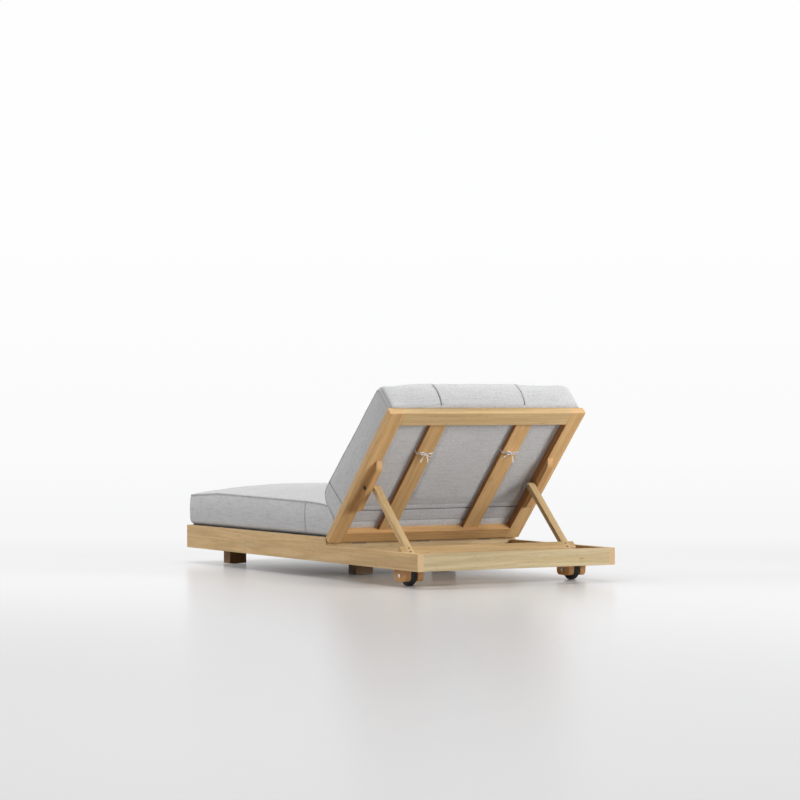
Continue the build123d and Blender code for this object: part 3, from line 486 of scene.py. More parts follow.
def woven(name, dark, light):
    """A heathered plain weave on the UV map, in metres, darkened by painted shade where the mesh's
    painted_seam_shade value asks for it.
    """
    made, tree, shader = new_material(name)
    cloth = add(tree, "UVMap", {"uv_map": "panel"}).outputs[0]

    def streaks(along, across, detail=2.0):
        return noise(tree, stretch(tree, cloth, (along, across, 1)), 1.0, detail)

    both = math_node(tree, "ADD", streaks(70, 900), streaks(900, 70))
    both = math_node(tree, "MULTIPLY", both, 0.5)
    base = ramp(tree, both, [(0.38, dark), (0.60, light)])
    for along, across, low in ((10, 190, 0.88), (230, 15, 0.93)):
        slub_stops = [(0.36, low), (0.48, 1.0), (0.60, 1.0), (0.72, 1.07)]
        base = shaded(tree, base, 1.0, streaks(along, across, 3.0), slub_stops)
    base = shaded(tree, base, 1.0, streaks(4, 4), [(0.3, 0.985), (0.7, 1.015)])
    # Painted shade: the colour is darkened where painted_seam_shade marks shaded grooves and edges.
    seam = add(tree, "Attribute", {"attribute_name": "painted_seam_shade"}).outputs["Fac"]
    base = shaded(tree, base, 1.0, seam, [(0.0, 1.0), (1.0, darkest_painted_shade)])
    tree.links.new(base, shader.inputs["Base Color"])
    inputs = {0: cloth, "Scale": math.pi / thread_pitch}
    turns = add(tree, "VectorMath", {"operation": "SCALE"}, inputs).outputs[0]
    over, under = (math_node(tree, "SINE", one_of(tree, turns, axis)) for axis in "XY")
    weave = math_node(tree, "MULTIPLY", over, under)
    raised = math_node(tree, "ADD", weave, math_node(tree, "MULTIPLY", both, 3.0))
    emboss(tree, shader, raised, 0.35, 0.0004)
    shader.inputs["Roughness"].default_value = 0.9
    shader.inputs["Specular IOR Level"].default_value = 0.2
    shader.inputs["Sheen Weight"].default_value = 0.25
    shader.inputs["Sheen Roughness"].default_value = 0.5
    return made


cushion_cloth = woven("cushion_cloth", (0.47, 0.47, 0.475), (0.70, 0.70, 0.705))
print("cloth with threads every", thread_pitch * 1000, "mm")

# %% [markdown]
# ## How the cushions are built
#
# A boxed cushion is six panels of cloth sewn along their edges. Each is made from a closed grid on
# the faces of a box: the grid's own coordinates are the flat panels, and a rule then says where
# each point goes. Rows lie close together beside the seams, so a groove can follow them.

# %% Grid on a box
mm = 0.001
edge_rows = [0, 1.2, 2.6, 4.4, 7, 10.5, 15, 21, 29]
seam_rows = [0, 0.8, 1.6, 2.6, 4.4, 7, 10.5]
closest_rows = 0.7 * mm
tiny = 1e-6


def rows(low, high, step, seams=(), lines=()):
    """Places along one side of the box, closer together at both ends and at any seams."""
    places = [low + r * mm for r in edge_rows] + [high - r * mm for r in edge_rows] + list(lines)
    for seam in seams:
        places += [seam + r * mm for r in seam_rows] + [seam - r * mm for r in seam_rows]
    places = sorted(set(round(p, 6) for p in places if low <= p <= high))
    filled = [places[0]]
    for place in places[1:]:
        start = filled[-1]
        gap = place - start
        if gap < closest_rows and place < places[-1]:
            continue
        count = max(1, round(gap / step)) if gap > 1.3 * step else 1
        filled += [start + gap * (n + 1) / count for n in range(count)]
    return np.array(filled)


def even_rows(low, high, step):
    """Even places along one side of the box."""
    return np.linspace(low, high, max(2, round((high - low) / step)) + 1)


def box_grid(low, high, axes):
    """The closed surface of a box, its points on rows of three axes.

    Holds its flat points, its four-sided faces, the side of each face and the point numbers."""
    number = np.full([len(rows_on) for rows_on in axes], -1)
    points, faces, sides = [], [], []

    def corner(place):
        if number[place] < 0:
            number[place] = len(points)
            points.append([rows_on[n] for rows_on, n in zip(axes, place)])
        return number[place]

    last = [count - 1 for count in number.shape]
    for axis in range(3):
        first, second = (axis + 1) % 3, (axis + 2) % 3
        for end in (0, 1):
            for a in range(last[first]):
                for b in range(last[second]):
                    ring = []
                    for step_a, step_b in ((0, 0), (1, 0), (1, 1), (0, 1)):
                        place = [0, 0, 0]
                        place[axis] = last[axis] * end
                        place[first] = a + step_a
                        place[second] = b + step_b
                        ring.append(corner(tuple(place)))
                    faces.append(ring if end else ring[::-1])
                    sides.append(axis * 2 + end)
    arrays = {"flat": np.array(points), "faces": np.array(faces), "sides": np.array(sides)}
    return SimpleNamespace(low=low, high=high, axes=axes, number=number, **arrays)


def round_corner(p, q, low, high, radii):
    """Rounds a rectangle's corners: radii at low-low, high-low, high-high and low-high."""
    p, q = p.copy(), q.copy()
    corner_list = [(low[0], low[1]), (high[0], low[1]), (high[0], high[1]), (low[0], high[1])]
    normal = np.zeros((len(p), 2))
    normal[:, 0] = np.where(p <= low[0], -1, np.where(p >= high[0], 1, 0))
    normal[:, 1] = np.where(q <= low[1], -1, np.where(q >= high[1], 1, 0))
    for (cp, cq), radius in zip(corner_list, radii):
        way_p = 1 if cp == high[0] else -1
        way_q = 1 if cq == high[1] else -1
        a = (p - (cp - way_p * radius)) * way_p
        b = (q - (cq - way_q * radius)) * way_q
        inside = (a > 0) & (b > 0)
        a, b = a[inside], b[inside]
        reach = np.maximum(a, b)
        slow = math.pi / 4 * np.minimum(a, b) / np.maximum(reach, 1e-12)
        angle = np.where(a >= b, slow, math.pi / 2 - slow)
        p[inside] = cp - way_p * radius + way_p * reach * np.cos(angle)
        q[inside] = cq - way_q * radius + way_q * reach * np.sin(angle)
        normal[inside] = np.stack([way_p * np.cos(angle), way_q * np.sin(angle)], 1)
    return p, q, normal


def smooth(x):
    """0 below 0, 1 above 1, with an even slope between."""
    x = np.clip(x, 0, 1)
    return x * x * (3 - 2 * x)


def bell(distance, width):
    """1 at no distance, dying away smoothly within a few widths."""
    return np.exp(-((distance / width) ** 2))


def hump(share):
    """0 where a share is 0 or 1, and 1 halfway."""
    return 1 - (2 * share - 1) ** 2


def soft_low(a, b, width):
    """The lower of two values, with a rounded corner where they cross."""
    return 0.5 * (a + b - np.sqrt((a - b) ** 2 + width**2))


# %% [markdown]
# ## Seams, puckers and swelling
#
# A seam pulls the cloth in: a narrow groove with the filling standing up a little on each side, and
# short puckers that die away from it. Both move points along the surface's own normals. The filling
# itself is a cloth simulation: a coarse copy of the cushion, a little too small, is blown up from
# inside while its seams are held. How far each coarse point moved is then carried to the fine grid,
# so the fine grid keeps its seams and its UV map.


# %% Seams
def normals_of(points, faces):
    """An outward direction of length 1 at each point."""
    corner = points[faces]
    flat_normal = np.cross(corner[:, 2] - corner[:, 0], corner[:, 3] - corner[:, 1])
    total = np.zeros_like(points)
    for n in range(4):
        np.add.at(total, faces[:, n], flat_normal)
    return total / np.maximum(np.linalg.norm(total, axis=1, keepdims=True), 1e-12)


def groove(distance, depth, width, shoulder):
    """How far a sewn seam pulls the cloth in, with a raised shoulder beside it."""
    return shoulder * bell(distance - 2.8 * width, 1.5 * width) - depth * bell(distance, width)


def piped(seam, height, depth):
    """A piped edge: the cloth stands up along the seam, with a groove beside it."""
    return height * bell(seam, 0.0022) + groove(np.abs(seam - 0.005), depth, 0.002, 0)


def ripples(places, size, seed):
    """Soft noise between -1 and 1 along a line or over a surface."""
    offset = mathutils.Vector((seed * 7.3, seed * 3.1, seed * 1.7))
    return np.array([mathutils.noise.noise(mathutils.Vector(p) + offset) for p in places / size])


def pucker(flat, distance, height, reach, seed):
    """Short folds that leave a seam at right angles and die away within its reach."""
    line = np.zeros_like(flat)
    line[:, 0] = flat.sum(1)
    line[:, 1] = distance * 0.35
    waves = ripples(line, 0.019, seed) + 0.5 * ripples(line, 0.045, seed + 1)
    return height * waves * np.exp(-distance / reach)


def even_out(values, faces, times):
    """Averages a value with its neighbours on the grid, several times over."""
    first = faces.ravel()
    second = np.roll(faces, -1, axis=1).ravel()
    count = sum(np.bincount(ends, minlength=len(values)) for ends in (first, second))
    for _ in range(times):
        total = np.zeros_like(values)
        np.add.at(total, first, values[second])
        np.add.at(total, second, values[first])
        values = 0.5 * values + 0.5 * total / count[:, None]
    return values


def carried(coarse, values, flat):
    """Values at a coarse grid's points, read at the places of a finer grid on the same box."""
    starts, shares = [], []
    for axis, steps in enumerate(coarse.axes):
        start = np.searchsorted(steps, flat[:, axis], side="right") - 1
        start = np.clip(start, 0, len(steps) - 2)
        share = (flat[:, axis] - steps[start]) / (steps[start + 1] - steps[start])
        shares.append(np.clip(share, 0, 1))
        starts.append(start)
    result = np.zeros((len(flat), values.shape[1]))
    for ends in np.ndindex(2, 2, 2):
        found = coarse.number[tuple(start + end for start, end in zip(starts, ends))]
        weight = np.ones(len(flat))
        for share, end in zip(shares, ends):
            weight = weight * (share if end else 1 - share)
        weight = np.where(found < 0, 0, weight)
        result += weight[:, None] * values[np.maximum(found, 0)]
    return result


# %% Swelling
filling = {
    "quality": 5,
    "mass": 0.35,
    "use_pressure": True,
    "uniform_pressure_force": 4.0,
    "tension_stiffness": 18,
    "compression_stiffness": 12,
    "bending_stiffness": 0.8,
    "vertex_group_mass": "held",
}
swelling_frames = 20
even_rounds = 12


def swell(name, grid, step, place, sink, held, cap, up):
    """How far the filling moves a cushion's points, from a coarse copy that is sink too small.

    place says where a flat point goes, held its distance from the seams, and up is the way in
    which the front swells. It swells by about as much as it was sunk."""
    box = (grid.low, grid.high)
    coarse = box_grid(*box, [even_rows(low, high, step) for low, high in zip(*box)])
    start = place(coarse.flat, sink)
    model = put(name, new_mesh(name, start, coarse.faces))
    pins = model.vertex_groups.new(name="held")
    for point in np.nonzero(held(coarse.flat) < 0.4 * step)[0]:
        pins.add([int(point)], 1.0, "REPLACE")
    cloth = model.modifiers.new("cloth", "CLOTH")
    for key, value in filling.items():
        setattr(cloth.settings, key, value)
    cloth.settings.effector_weights.gravity = 0
    scene = bpy.context.scene
    for number_of_frame in range(1, swelling_frames + 1):
        scene.frame_set(number_of_frame)
    shape = model.evaluated_get(bpy.context.evaluated_depsgraph_get()).data
    moved = np.empty(len(start) * 3)
    shape.vertices.foreach_get("co", moved)
    moved = moved.reshape(-1, 3) - start
    length = np.linalg.norm(moved, axis=1, keepdims=True)
    moved = moved * np.minimum(1, cap / np.maximum(length, 1e-9))
    bpy.data.objects.remove(model)
    scene.frame_set(1)
    print(name, "swelled by", round(float(np.median(length)) / mm, 2), "mm, capped at", cap / mm)
    moved = even_out(carried(coarse, moved, grid.flat), grid.faces, even_rounds)
    grown = np.percentile((moved @ np.array(up))[grid.flat[:, 2] >= grid.high[2]], 60)
    return moved * min(1.3, sink / max(grown, 1e-4))


# %% Cloth on a mesh
def lay_uv(mesh, places):
    """A UV map of the cloth's flat panels, in metres."""
    uv_map = mesh.uv_layers.new(name="panel")
    uv_map.data.foreach_set("uv", np.asarray(places, np.float32).ravel())


def cushion_object(name, grid, placed, shade):
    """A smooth mesh object with the flat panels' places as its UV map, and the painted shade of its
    seams.
    """
    mesh = new_mesh(name, placed, grid.faces)
    mesh.update()
    side = np.repeat(grid.sides, 4)
    x, y, z = grid.flat[grid.faces.reshape(-1)].T
    first = np.where(side // 2 == 0, y, x)
    second = np.where(side // 2 == 2, y, z) + side * 0.37
    lay_uv(mesh, np.stack([first, second], 1))
    painted_seam_shade = mesh.attributes.new("painted_seam_shade", "FLOAT", "POINT")
    painted_seam_shade.data.foreach_set("value", shade.astype(np.float32))
    mesh.shade_smooth()
    mesh.materials.append(cushion_cloth)
    highest = round(float(placed[:, 2].max()), 4)
    print(name, "faces:", len(grid.faces), "highest", highest)
    return put(name, mesh)


# %% [markdown]
# ## Seat cushion
#
# The seat cushion is one long pad. Its top rises from the seams to a smooth crown, its sides swell
# a little between the seams, and its head end is a wedge that fills the corner under the back
# cushion. Its lower edge is tucked under, and its cloth there is painted dark as shade, which gives
# the dark line between the cushion and the rail.

# %% Seat cushion
seat_half = 0.492
seat_foot = -1.092
seat_rear = 0.29886
rail_top = 0.1825
seat_depth = 0.1395
seat_tip_y = 0.3700
seat_heel_y = 0.3026
tip_share = (0.2535 - rail_top) / seat_depth
boxing_seam_y = 0.096
seam_places = [-1.092, -1.073, -0.789, -0.515, 0.084, 0.238, 0.2989]
seam_heights = [0.3270, 0.3286, 0.3439, 0.3419, 0.3357, 0.3314, 0.3222]
crown_places = [-1.092, -1.05, -0.95, -0.80, -0.40, 0.0, 0.15, 0.2989]
crown_heights = [0.3530, 0.3660, 0.3770, 0.3865, 0.3885, 0.3810, 0.3670, 0.3222]
seat_radii = (0.014, 0.014, 0.006, 0.006)
seat_bottom_lift = 0.0005
seat_sink = 0.006
crown_run = 0.08
crown_share, edge_share = 0.80, 0.20
edge_round = 0.020
wedge_start = 0.05
side_waist = 0.004
seat_belly, seat_inset = 0.0085, 0.0035
tuck_in, tuck_height = 0.018, 0.022
seat_low = (-seat_half, seat_foot, 0.0)
seat_high = (seat_half, seat_rear, seat_depth)


# %% Shape of the seat cushion
def seat_gap(flat):
    """How far a point of the flat grid is from the outline of the top and bottom panels."""
    to_side = seat_half - np.abs(flat[:, 0])
    return np.minimum.reduce([to_side, flat[:, 1] - seat_foot, seat_rear - flat[:, 1]])


def waist(y, start, end):
    """How far the long sides draw in between their corners."""
    middle = (start + end) / 2
    return side_waist * (1 - ((y - middle) / (end - middle)) ** 2)


def place_seat(flat, sink=0.0):
    """Where each point of the flat seat grid goes; sink makes it too small, for the simulation."""
    x, y, normal = round_corner(flat[:, 0], flat[:, 1], seat_low[:2], seat_high[:2], seat_radii)
    share = flat[:, 2] / seat_depth
    gap = seat_gap(flat)
    belly = (seat_belly - 0.4 * sink) * hump(share) - seat_inset
    tuck = tuck_in * (1 - smooth(flat[:, 2] / tuck_height)) ** 2
    push = belly - tuck * smooth(1 - gap / crown_run)
    x = x + push * normal[:, 0]
    y = y + push * normal[:, 1] * (normal[:, 1] < 0)
    x = x * (1 - np.clip(waist(y, seat_foot, seat_rear), 0, 1) / seat_half)
    lower = seat_heel_y + (seat_tip_y - seat_heel_y) * share / tip_share
    upper = seat_rear + (seat_tip_y - seat_rear) * (1 - share) / (1 - tip_share)
    wedge = soft_low(lower, upper, 0.003)
    y = y + (wedge - seat_rear) * smooth((flat[:, 1] - wedge_start) / (seat_rear - wedge_start))
    side = np.interp(flat[:, 1], seam_places, seam_heights)
    crest = np.interp(flat[:, 1], crown_places, crown_heights)
    u = np.abs(flat[:, 0]) / seat_half
    edge_roll = 1 - np.exp(-(1 - u) * seat_half / edge_round)
    arch = (1 - u**2.4) * crown_share + edge_share * edge_roll
    top = side + (crest - side) * arch - sink * smooth(gap / crown_run)
    z = rail_top + seat_bottom_lift + (top - rail_top) * share
    return np.stack([x, y, z], 1)


def seat_seams(flat):
    """How far a point of the flat grid is from the seams round the top and the bottom."""
    return seat_gap(flat) + np.minimum(flat[:, 2], seat_depth - flat[:, 2])


# %% The seat cushion filled
seat_step = 0.009
seat_axes = [
    rows(seat_low[0], seat_high[0], seat_step),
    rows(seat_low[1], seat_high[1], seat_step, [boxing_seam_y]),
    rows(seat_low[2], seat_high[2], 0.011),
]
seat_grid = box_grid(seat_low, seat_high, seat_axes)
flat = seat_grid.flat
up = (0, 0, 1)
moved = swell("seat_swell", seat_grid, 0.018, place_seat, seat_sink, seat_seams, 0.010, up)
moved[:, 2][flat[:, 2] < 0.02] = 0
moved[:, 1] *= 1 - smooth((flat[:, 1] - wedge_start) / 0.15)
seat_placed = place_seat(flat, seat_sink) + moved

# %% Seams of the seat cushion
top_seam = seat_gap(flat) + seat_depth - flat[:, 2]
bottom_seam = seat_gap(flat) + flat[:, 2]
on_side = np.abs(flat[:, 0]) >= seat_half - tiny
boxing_seam = np.where(on_side, np.abs(flat[:, 1] - boxing_seam_y), 1.0)
lift = piped(top_seam, 0.0014, 0.0013)
lift += groove(boxing_seam, 0.0022, 0.0022, 0.0006)
lift += pucker(flat, top_seam, 0.0011, 0.022, 1) + pucker(flat, bottom_seam, 0.0010, 0.025, 3)
lift += pucker(flat, boxing_seam, 0.0006, 0.018, 5)
broad = ripples(seat_placed, 0.21, 7) + 0.5 * ripples(seat_placed, 0.09, 8)
lift += 0.0012 * broad * smooth(np.minimum(top_seam, bottom_seam) / 0.05)
rests = (flat[:, 2] <= 0.004) | (flat[:, 1] > seat_rear - 0.001)
lift = np.where(rests, np.minimum(lift, 0), lift)
seat_placed = seat_placed + normals_of(seat_placed, seat_grid.faces) * lift[:, None]
seat_placed[:, 2] = np.maximum(seat_placed[:, 2], rail_top + 0.0003)
# Painted shadow on the lower edge of the sides, where the tucked cloth meets the rail.
under = (1 - smooth((flat[:, 2] - 0.002) / 0.007)) * (seat_gap(flat) < 0.02)
# Painted shade beside the boxing and top seams and on the lower edge.
dark = [0.42 * bell(boxing_seam, 0.0018), 0.32 * bell(top_seam - 0.0048, 0.0016), under]
seat = cushion_object("seat_pad", seat_grid, seat_placed, np.maximum.reduce(dark))

# %% [markdown]
# ## Back cushion
#
# The back cushion leans on the frame. Two sewn channels run up its front and over the far end,
# which leaves three soft lobes, and a tucked seam crosses its rear near the foot. It is built flat,
# on the axes of the back, and then tipped into place. Between the boards its rear cloth sags out a
# little.

# %% Back cushion
hinge_y = 0.305
hinge_z = 0.1785
lean = math.radians(recline)
back_start = 0.100
back_end = 0.816
back_depth = 0.176
back_radii = (0.003, 0.010, 0.030, 0.055)
frame_front = 0.004
front_places = [0.100, 0.170, 0.222, 0.325, 0.428, 0.532, 0.632, 0.734, 0.788, 0.830]
front_heights = [0.1700, 0.1690, 0.1680, 0.1650, 0.1600, 0.1530, 0.1500, 0.1425, 0.1400, 0.1390]
channel_rise = 0.008
lobe_rise = 0.020
channels = (-0.190, 0.240)
nose_run = 0.12
nose_bulge = 0.020
back_belly, back_inset = 0.006, 0.005
# Place across the far end, and how far its cloth stands up the back and off it there, in mm.
far_end = [
    (-0.492, -4, 7),
    (-0.451, -2, 6),
    (-0.387, -3, -3),
    (-0.320, -6.5, -6.5),
    (-0.259, -7.5, -7.5),
    (-0.215, -6, -6),
    (-0.185, -3.5, -3.5),
    (0, -3, -3),
    (0.175, -3, -3),
    (0.24, -4, -4),
    (0.30, -4, -4),
    (0.356, -3, -3),
    (0.416, -4, -4),
    (0.476, 0, 0),
]
trim_x, trim_s, trim_t = zip(*far_end)
plan_round = 0.020
tuck_s = 0.178
topstitch_s = 0.206
tuck_across = [-0.492, -0.340, -0.020, 0.321, 0.450, 0.492]
tuck_rear = [-0.008, -0.008, -0.0115, -0.0130, -0.008, 0.020]
tuck_front = [0, 0, 0, 0, 0, 0.0085]
back_sink = 0.005
back_low = (-seat_half, back_start, 0.0)
back_high = (seat_half, back_end, back_depth)


# %% Shape of the back cushion
def tip_back(x, s, t):
    """Points on the back's own axes, s up the back and t off it, as places in the frame."""
    y = hinge_y + s * math.cos(lean) - t * math.sin(lean)
    z = hinge_z + s * math.sin(lean) + t * math.cos(lean)
    return np.stack([x, y, z], 1)


def lobes(x, channel, crown):
    """How far the three lobes and the two channels stand over the cushion's long edges."""
    low, high = channels
    edge = np.where(x > high, seat_half, -seat_half)
    near = np.where(x > high, high, low)
    outer = np.clip((x - near) / (edge - near), 0, 1)
    outer_arch = channel * (1 - outer) + (crown - channel / 2) * (1 - np.abs(2 * outer - 1) ** 3)
    inner = (2 * x - low - high) / (high - low)
    inner_arch = channel + (crown - channel) * (1 - inner**2)
    return np.where((x > low) & (x < high), inner_arch, outer_arch)


def place_back(flat, sink=0.0):
    """Where each point of the flat back grid goes in the frame."""
    x, up = flat[:, 0], flat[:, 1]
    s, t, _ = round_corner(up, flat[:, 2], back_low[1:], back_high[1:], back_radii)
    share = np.clip(t / back_depth, 0, 1)
    u = np.abs(x)
    nose = smooth((up - back_end + nose_run) / nose_run)
    rise = lobes(x, channel_rise + 0.005 * nose, lobe_rise - 0.004 * nose)
    front = np.interp(up, front_places, front_heights) + rise - frame_front
    gap = np.minimum.reduce([seat_half - u, up - back_start, back_end - up])
    front = front + nose * mm * np.interp(x, trim_x, trim_t)
    t = frame_front + 0.0004 + share * (front - sink * smooth(gap / 0.06))
    corner = np.clip(u - seat_half + plan_round, 0, plan_round)
    setback = 0.010 * (u / 0.45) ** 2 + plan_round - np.sqrt(plan_round**2 - corner**2)
    bulge = nose_bulge * (1 - (u / seat_half) ** 4) * hump(share)
    s = s + (bulge - setback + mm * np.interp(x, trim_x, trim_s)) * nose
    tucked = np.interp(x, tuck_across, tuck_rear)
    front_side = np.interp(x, tuck_across, tuck_front)
    tucked = tucked + (front_side - tucked) * smooth((share - 0.15) / 0.75)
    s = s + tucked * bell(up - tuck_s, 0.05) * (flat[:, 2] < back_depth - tiny)
    belly = (back_belly - sink) * hump(share) - back_inset
    x = x + (belly - waist(up, back_start, back_end)) * np.clip(x / seat_half, -1, 1)
    return tip_back(x, s, t)


def back_gaps(flat):
    """Distances on the flat grid from the side seams, channels, tuck and the rear's edge."""
    to_side = seat_half - np.abs(flat[:, 0])
    s_gap = np.minimum(flat[:, 1] - back_start, back_end - flat[:, 1])
    t_gap = np.minimum(flat[:, 2], back_depth - flat[:, 2])
    side_seam = to_side + np.minimum(s_gap, t_gap)
    off_side = to_side > tiny
    on_rear = (flat[:, 2] <= tiny) & off_side
    nearest = np.minimum(np.abs(flat[:, 0] - channels[0]), np.abs(flat[:, 0] - channels[1]))
    channel = np.where(on_rear | ~off_side, 1.0, nearest)
    on_front = (flat[:, 2] >= back_depth - tiny) & off_side
    tuck = np.where(on_front, 1.0, np.abs(flat[:, 1] - tuck_s))
    rear_edge = np.minimum(s_gap + flat[:, 2], 1.0)
    return side_seam, channel, tuck, rear_edge


def back_seams(flat):
    """How far a point of the flat grid is from the nearest seam."""
    return np.minimum.reduce(back_gaps(flat))


# %% The back cushion filled
back_step = 0.008
topstitch_rows = [topstitch_s + r for r in (-0.0015, 0, 0.0015)]
back_axes = [
    rows(back_low[0], back_high[0], back_step, channels),
    rows(back_low[1], back_high[1], back_step, [tuck_s], topstitch_rows),
    rows(back_low[2], back_high[2], 0.010),
]
back_grid = box_grid(back_low, back_high, back_axes)
flat = back_grid.flat
up = (0, -math.sin(lean), math.cos(lean))
moved = swell("back_swell", back_grid, 0.016, place_back, back_sink, back_seams, 0.009, up)
moved *= smooth(flat[:, 2] / 0.03)[:, None]
back_placed = place_back(flat, back_sink) + moved

# %% Seams of the back cushion
side_seam, channel, tuck, _ = back_gaps(flat)
on_side = np.abs(flat[:, 0]) >= seat_half - tiny
on_rear = flat[:, 2] <= tiny
flat_rear = on_rear & ~on_side
topstitch = np.where(flat_rear, np.abs(flat[:, 1] - topstitch_s), 1.0)
lift = piped(side_seam, 0.0012, 0.0012)
lift += groove(channel, 0.0048, 0.0020, 0.0008)
lift += np.where(flat_rear, groove(tuck, 0.0105, 0.0024, 0.0), 0)
lift += groove(topstitch, 0.0010, 0.0014, 0.0)
lift += np.where(on_side, groove(tuck, 0.0022, 0.0022, 0.0005), 0)
lift += pucker(flat, side_seam, 0.0010, 0.020, 11) + pucker(flat, channel, 0.0012, 0.022, 13)
broad = ripples(back_placed, 0.20, 17) + 0.5 * ripples(back_placed, 0.085, 18)
calm = smooth(np.minimum(side_seam, channel) / 0.05)
lift += 0.0012 * broad * calm * (flat[:, 2] > 0.02)
rests = on_rear | (flat[:, 1] <= back_start + tiny)
lift = np.where(rests, np.minimum(lift, 0), lift)


# %% Sag of the rear cloth between the boards
def opening(x, low, high, edge):
    """1 between two places and 0 outside them, with soft edges."""
    return smooth((x - low) / edge) * smooth((high - x) / edge)


deepest_sag = 0.0042
free_across = opening(np.abs(flat[:, 0]), -1.0, 0.176, 0.03)
free_across += opening(np.abs(flat[:, 0]), 0.264, 0.424, 0.03)
free_along = opening(flat[:, 1], 0.205, 0.716, 0.05)
free_along += 0.15 * opening(flat[:, 1], 0.104, 0.172, 0.03)
sag = np.where(on_rear, deepest_sag * free_across * free_along, 0)
sag *= 1 + 0.35 * ripples(flat, 0.12, 21)
back_placed = back_placed + normals_of(back_placed, back_grid.faces) * (lift + sag)[:, None]
# Painted shade in the channels, along the topstitch and the tuck, and beside the side seams.
dark = [0.85 * bell(channel, 0.0018), 0.25 * bell(topstitch, 0.0012)]
dark += [np.where(on_side, 0.6, 1.0) * bell(tuck, 0.0032), 0.45 * bell(side_seam - 0.0048, 0.0016)]
back = cushion_object("back_pad", back_grid, back_placed, np.maximum.reduce(dark))

# %% Cushions in the frame
for pad, node, body in ((seat, "seat_cushion", "base"), (back, "back_cushion", "backrest")):
    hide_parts(node)
    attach(pad, body)
print("both cushions stand in for their CAD solids")

# %% [markdown]
# ## Stitches
#
# The seams of the cushions are sewn twice, so rows of short stitches run beside them. Geometry
# Nodes lay them: the tree turns each line into a curve, steps along it at the stitch pitch, and
# puts one small thread at each step, turned along the line. The lines are rows of the cushions' own
# grids, so the stitches lie on the cloth wherever it swells.

# %% Stitch tree
stitch_sizes = {"Pitch": 0.0062, "Stitch length": 0.0042, "Thread": 0.0009}


def stitch_tree():
    """A node group that sews along the edges of a mesh."""
    tree = bpy.data.node_groups.new("stitches", "GeometryNodeTree")
    sockets = tree.interface
    sockets.new_socket("Line", in_out="INPUT", socket_type="NodeSocketGeometry")
    for name, size in stitch_sizes.items():
        socket = sockets.new_socket(name, in_out="INPUT", socket_type="NodeSocketFloat")
        socket.default_value = size
    sockets.new_socket("Finish", in_out="INPUT", socket_type="NodeSocketMaterial")
    sockets.new_socket("Stitches", in_out="OUTPUT", socket_type="NodeSocketGeometry")

    def step(kind, output, inputs=None, settings=None, family="GeometryNode"):
        return add(tree, kind, settings, inputs, family).outputs[output]

    given = add(tree, "GroupInput", family="Node").outputs
    curve = step("MeshToCurve", "Curve", {"Mesh": given["Line"]})
    inputs = {"Curve": curve, "Length": given["Pitch"]}
    steps = step("ResampleCurve", "Curve", inputs, {"mode": "LENGTH"})
    thread = step("MeshUVSphere", "Mesh", {"Segments": 6, "Rings": 4, "Radius": 0.5})
    inputs = {"X": given["Stitch length"], "Y": given["Thread"], "Z": given["Thread"]}
    size = step("CombineXYZ", "Vector", inputs, family="ShaderNode")
    inputs = {"Vector": step("InputTangent", "Tangent")}
    turn = step("AlignRotationToVector", "Rotation", inputs, {"axis": "X"}, "FunctionNode")
    inputs = {"Points": steps, "Instance": thread, "Rotation": turn, "Scale": size}
    sewn = step("InstanceOnPoints", "Instances", inputs)
    real = step("RealizeInstances", "Geometry", {"Geometry": sewn})
    inputs = {"Geometry": real, "Material": given["Finish"]}
    finished = step("SetMaterial", "Geometry", inputs)
    add(tree, "GroupOutput", None, {"Stitches": finished}, "Node")
    return tree


sewing = stitch_tree()
thread_finish = grained("sewing_thread", (0.50, 0.50, 0.505), 0.0, 0.8, 2500, 0.0001)
print("stitches in metres:", stitch_sizes)


# %% Sewn lines
def grid_line(grid, placed, normal, corners):
    """Points on a cushion along a bent line, given by its corners on the flat grid, in metres."""
    index = []
    for corner in corners:
        nearest = [np.argmin(np.abs(steps - value)) for steps, value in zip(grid.axes, corner)]
        index.append([int(n) for n in nearest])
    found = []
    for start, end in zip(index[:-1], index[1:]):
        count = max(abs(b - a) for a, b in zip(start, end))
        for n in range(count + 1):
            place = tuple(round(a + (b - a) * n / count) for a, b in zip(start, end))
            if grid.number[place] >= 0 and (not found or found[-1] != grid.number[place]):
                found.append(grid.number[place])
    return placed[found] + normal[found] * 0.0002


def sew(name, grid, placed, bent_lines):
    """Stitches along several lines of a cushion, as one plain mesh object."""
    normal = normals_of(placed, grid.faces)
    lines = [grid_line(grid, placed, normal, corners) for corners in bent_lines]
    starts = np.cumsum([0] + [len(line) for line in lines])
    edges = [(n, n + 1) for a, b in zip(starts[:-1], starts[1:]) for n in range(a, b - 1)]
    made = put(name, new_mesh(name, np.concatenate(lines), edges=edges))
    modifier = made.modifiers.new("sewing", "NODES")
    modifier.node_group = sewing
    values = {**stitch_sizes, "Finish": thread_finish}
    for socket in sewing.interface.items_tree:
        if socket.name in values:
            modifier[socket.identifier] = values[socket.name]
    shape = made.evaluated_get(bpy.context.evaluated_depsgraph_get())
    sewn = bpy.data.meshes.new_from_object(shape)
    made.modifiers.remove(modifier)
    made.data = sewn
    sewn.name = name
    sewn.shade_smooth()
    print(name, "faces:", len(sewn.polygons))
    return made


def framed(grid, level, axis):
    """The corners of a closed line just inside the edges of one side of a cushion's box."""
    first, second = [n for n in range(3) if n != axis]
    ends = [(grid.low[n] + beside, grid.high[n] - beside) for n in (first, second)]
    corners = []
    for a, b in ((0, 0), (1, 0), (1, 1), (0, 1), (0, 0)):
        corner = [0.0, 0.0, 0.0]
        corner[axis], corner[first], corner[second] = level, ends[0][a], ends[1][b]
        corners.append(corner)
    return corners


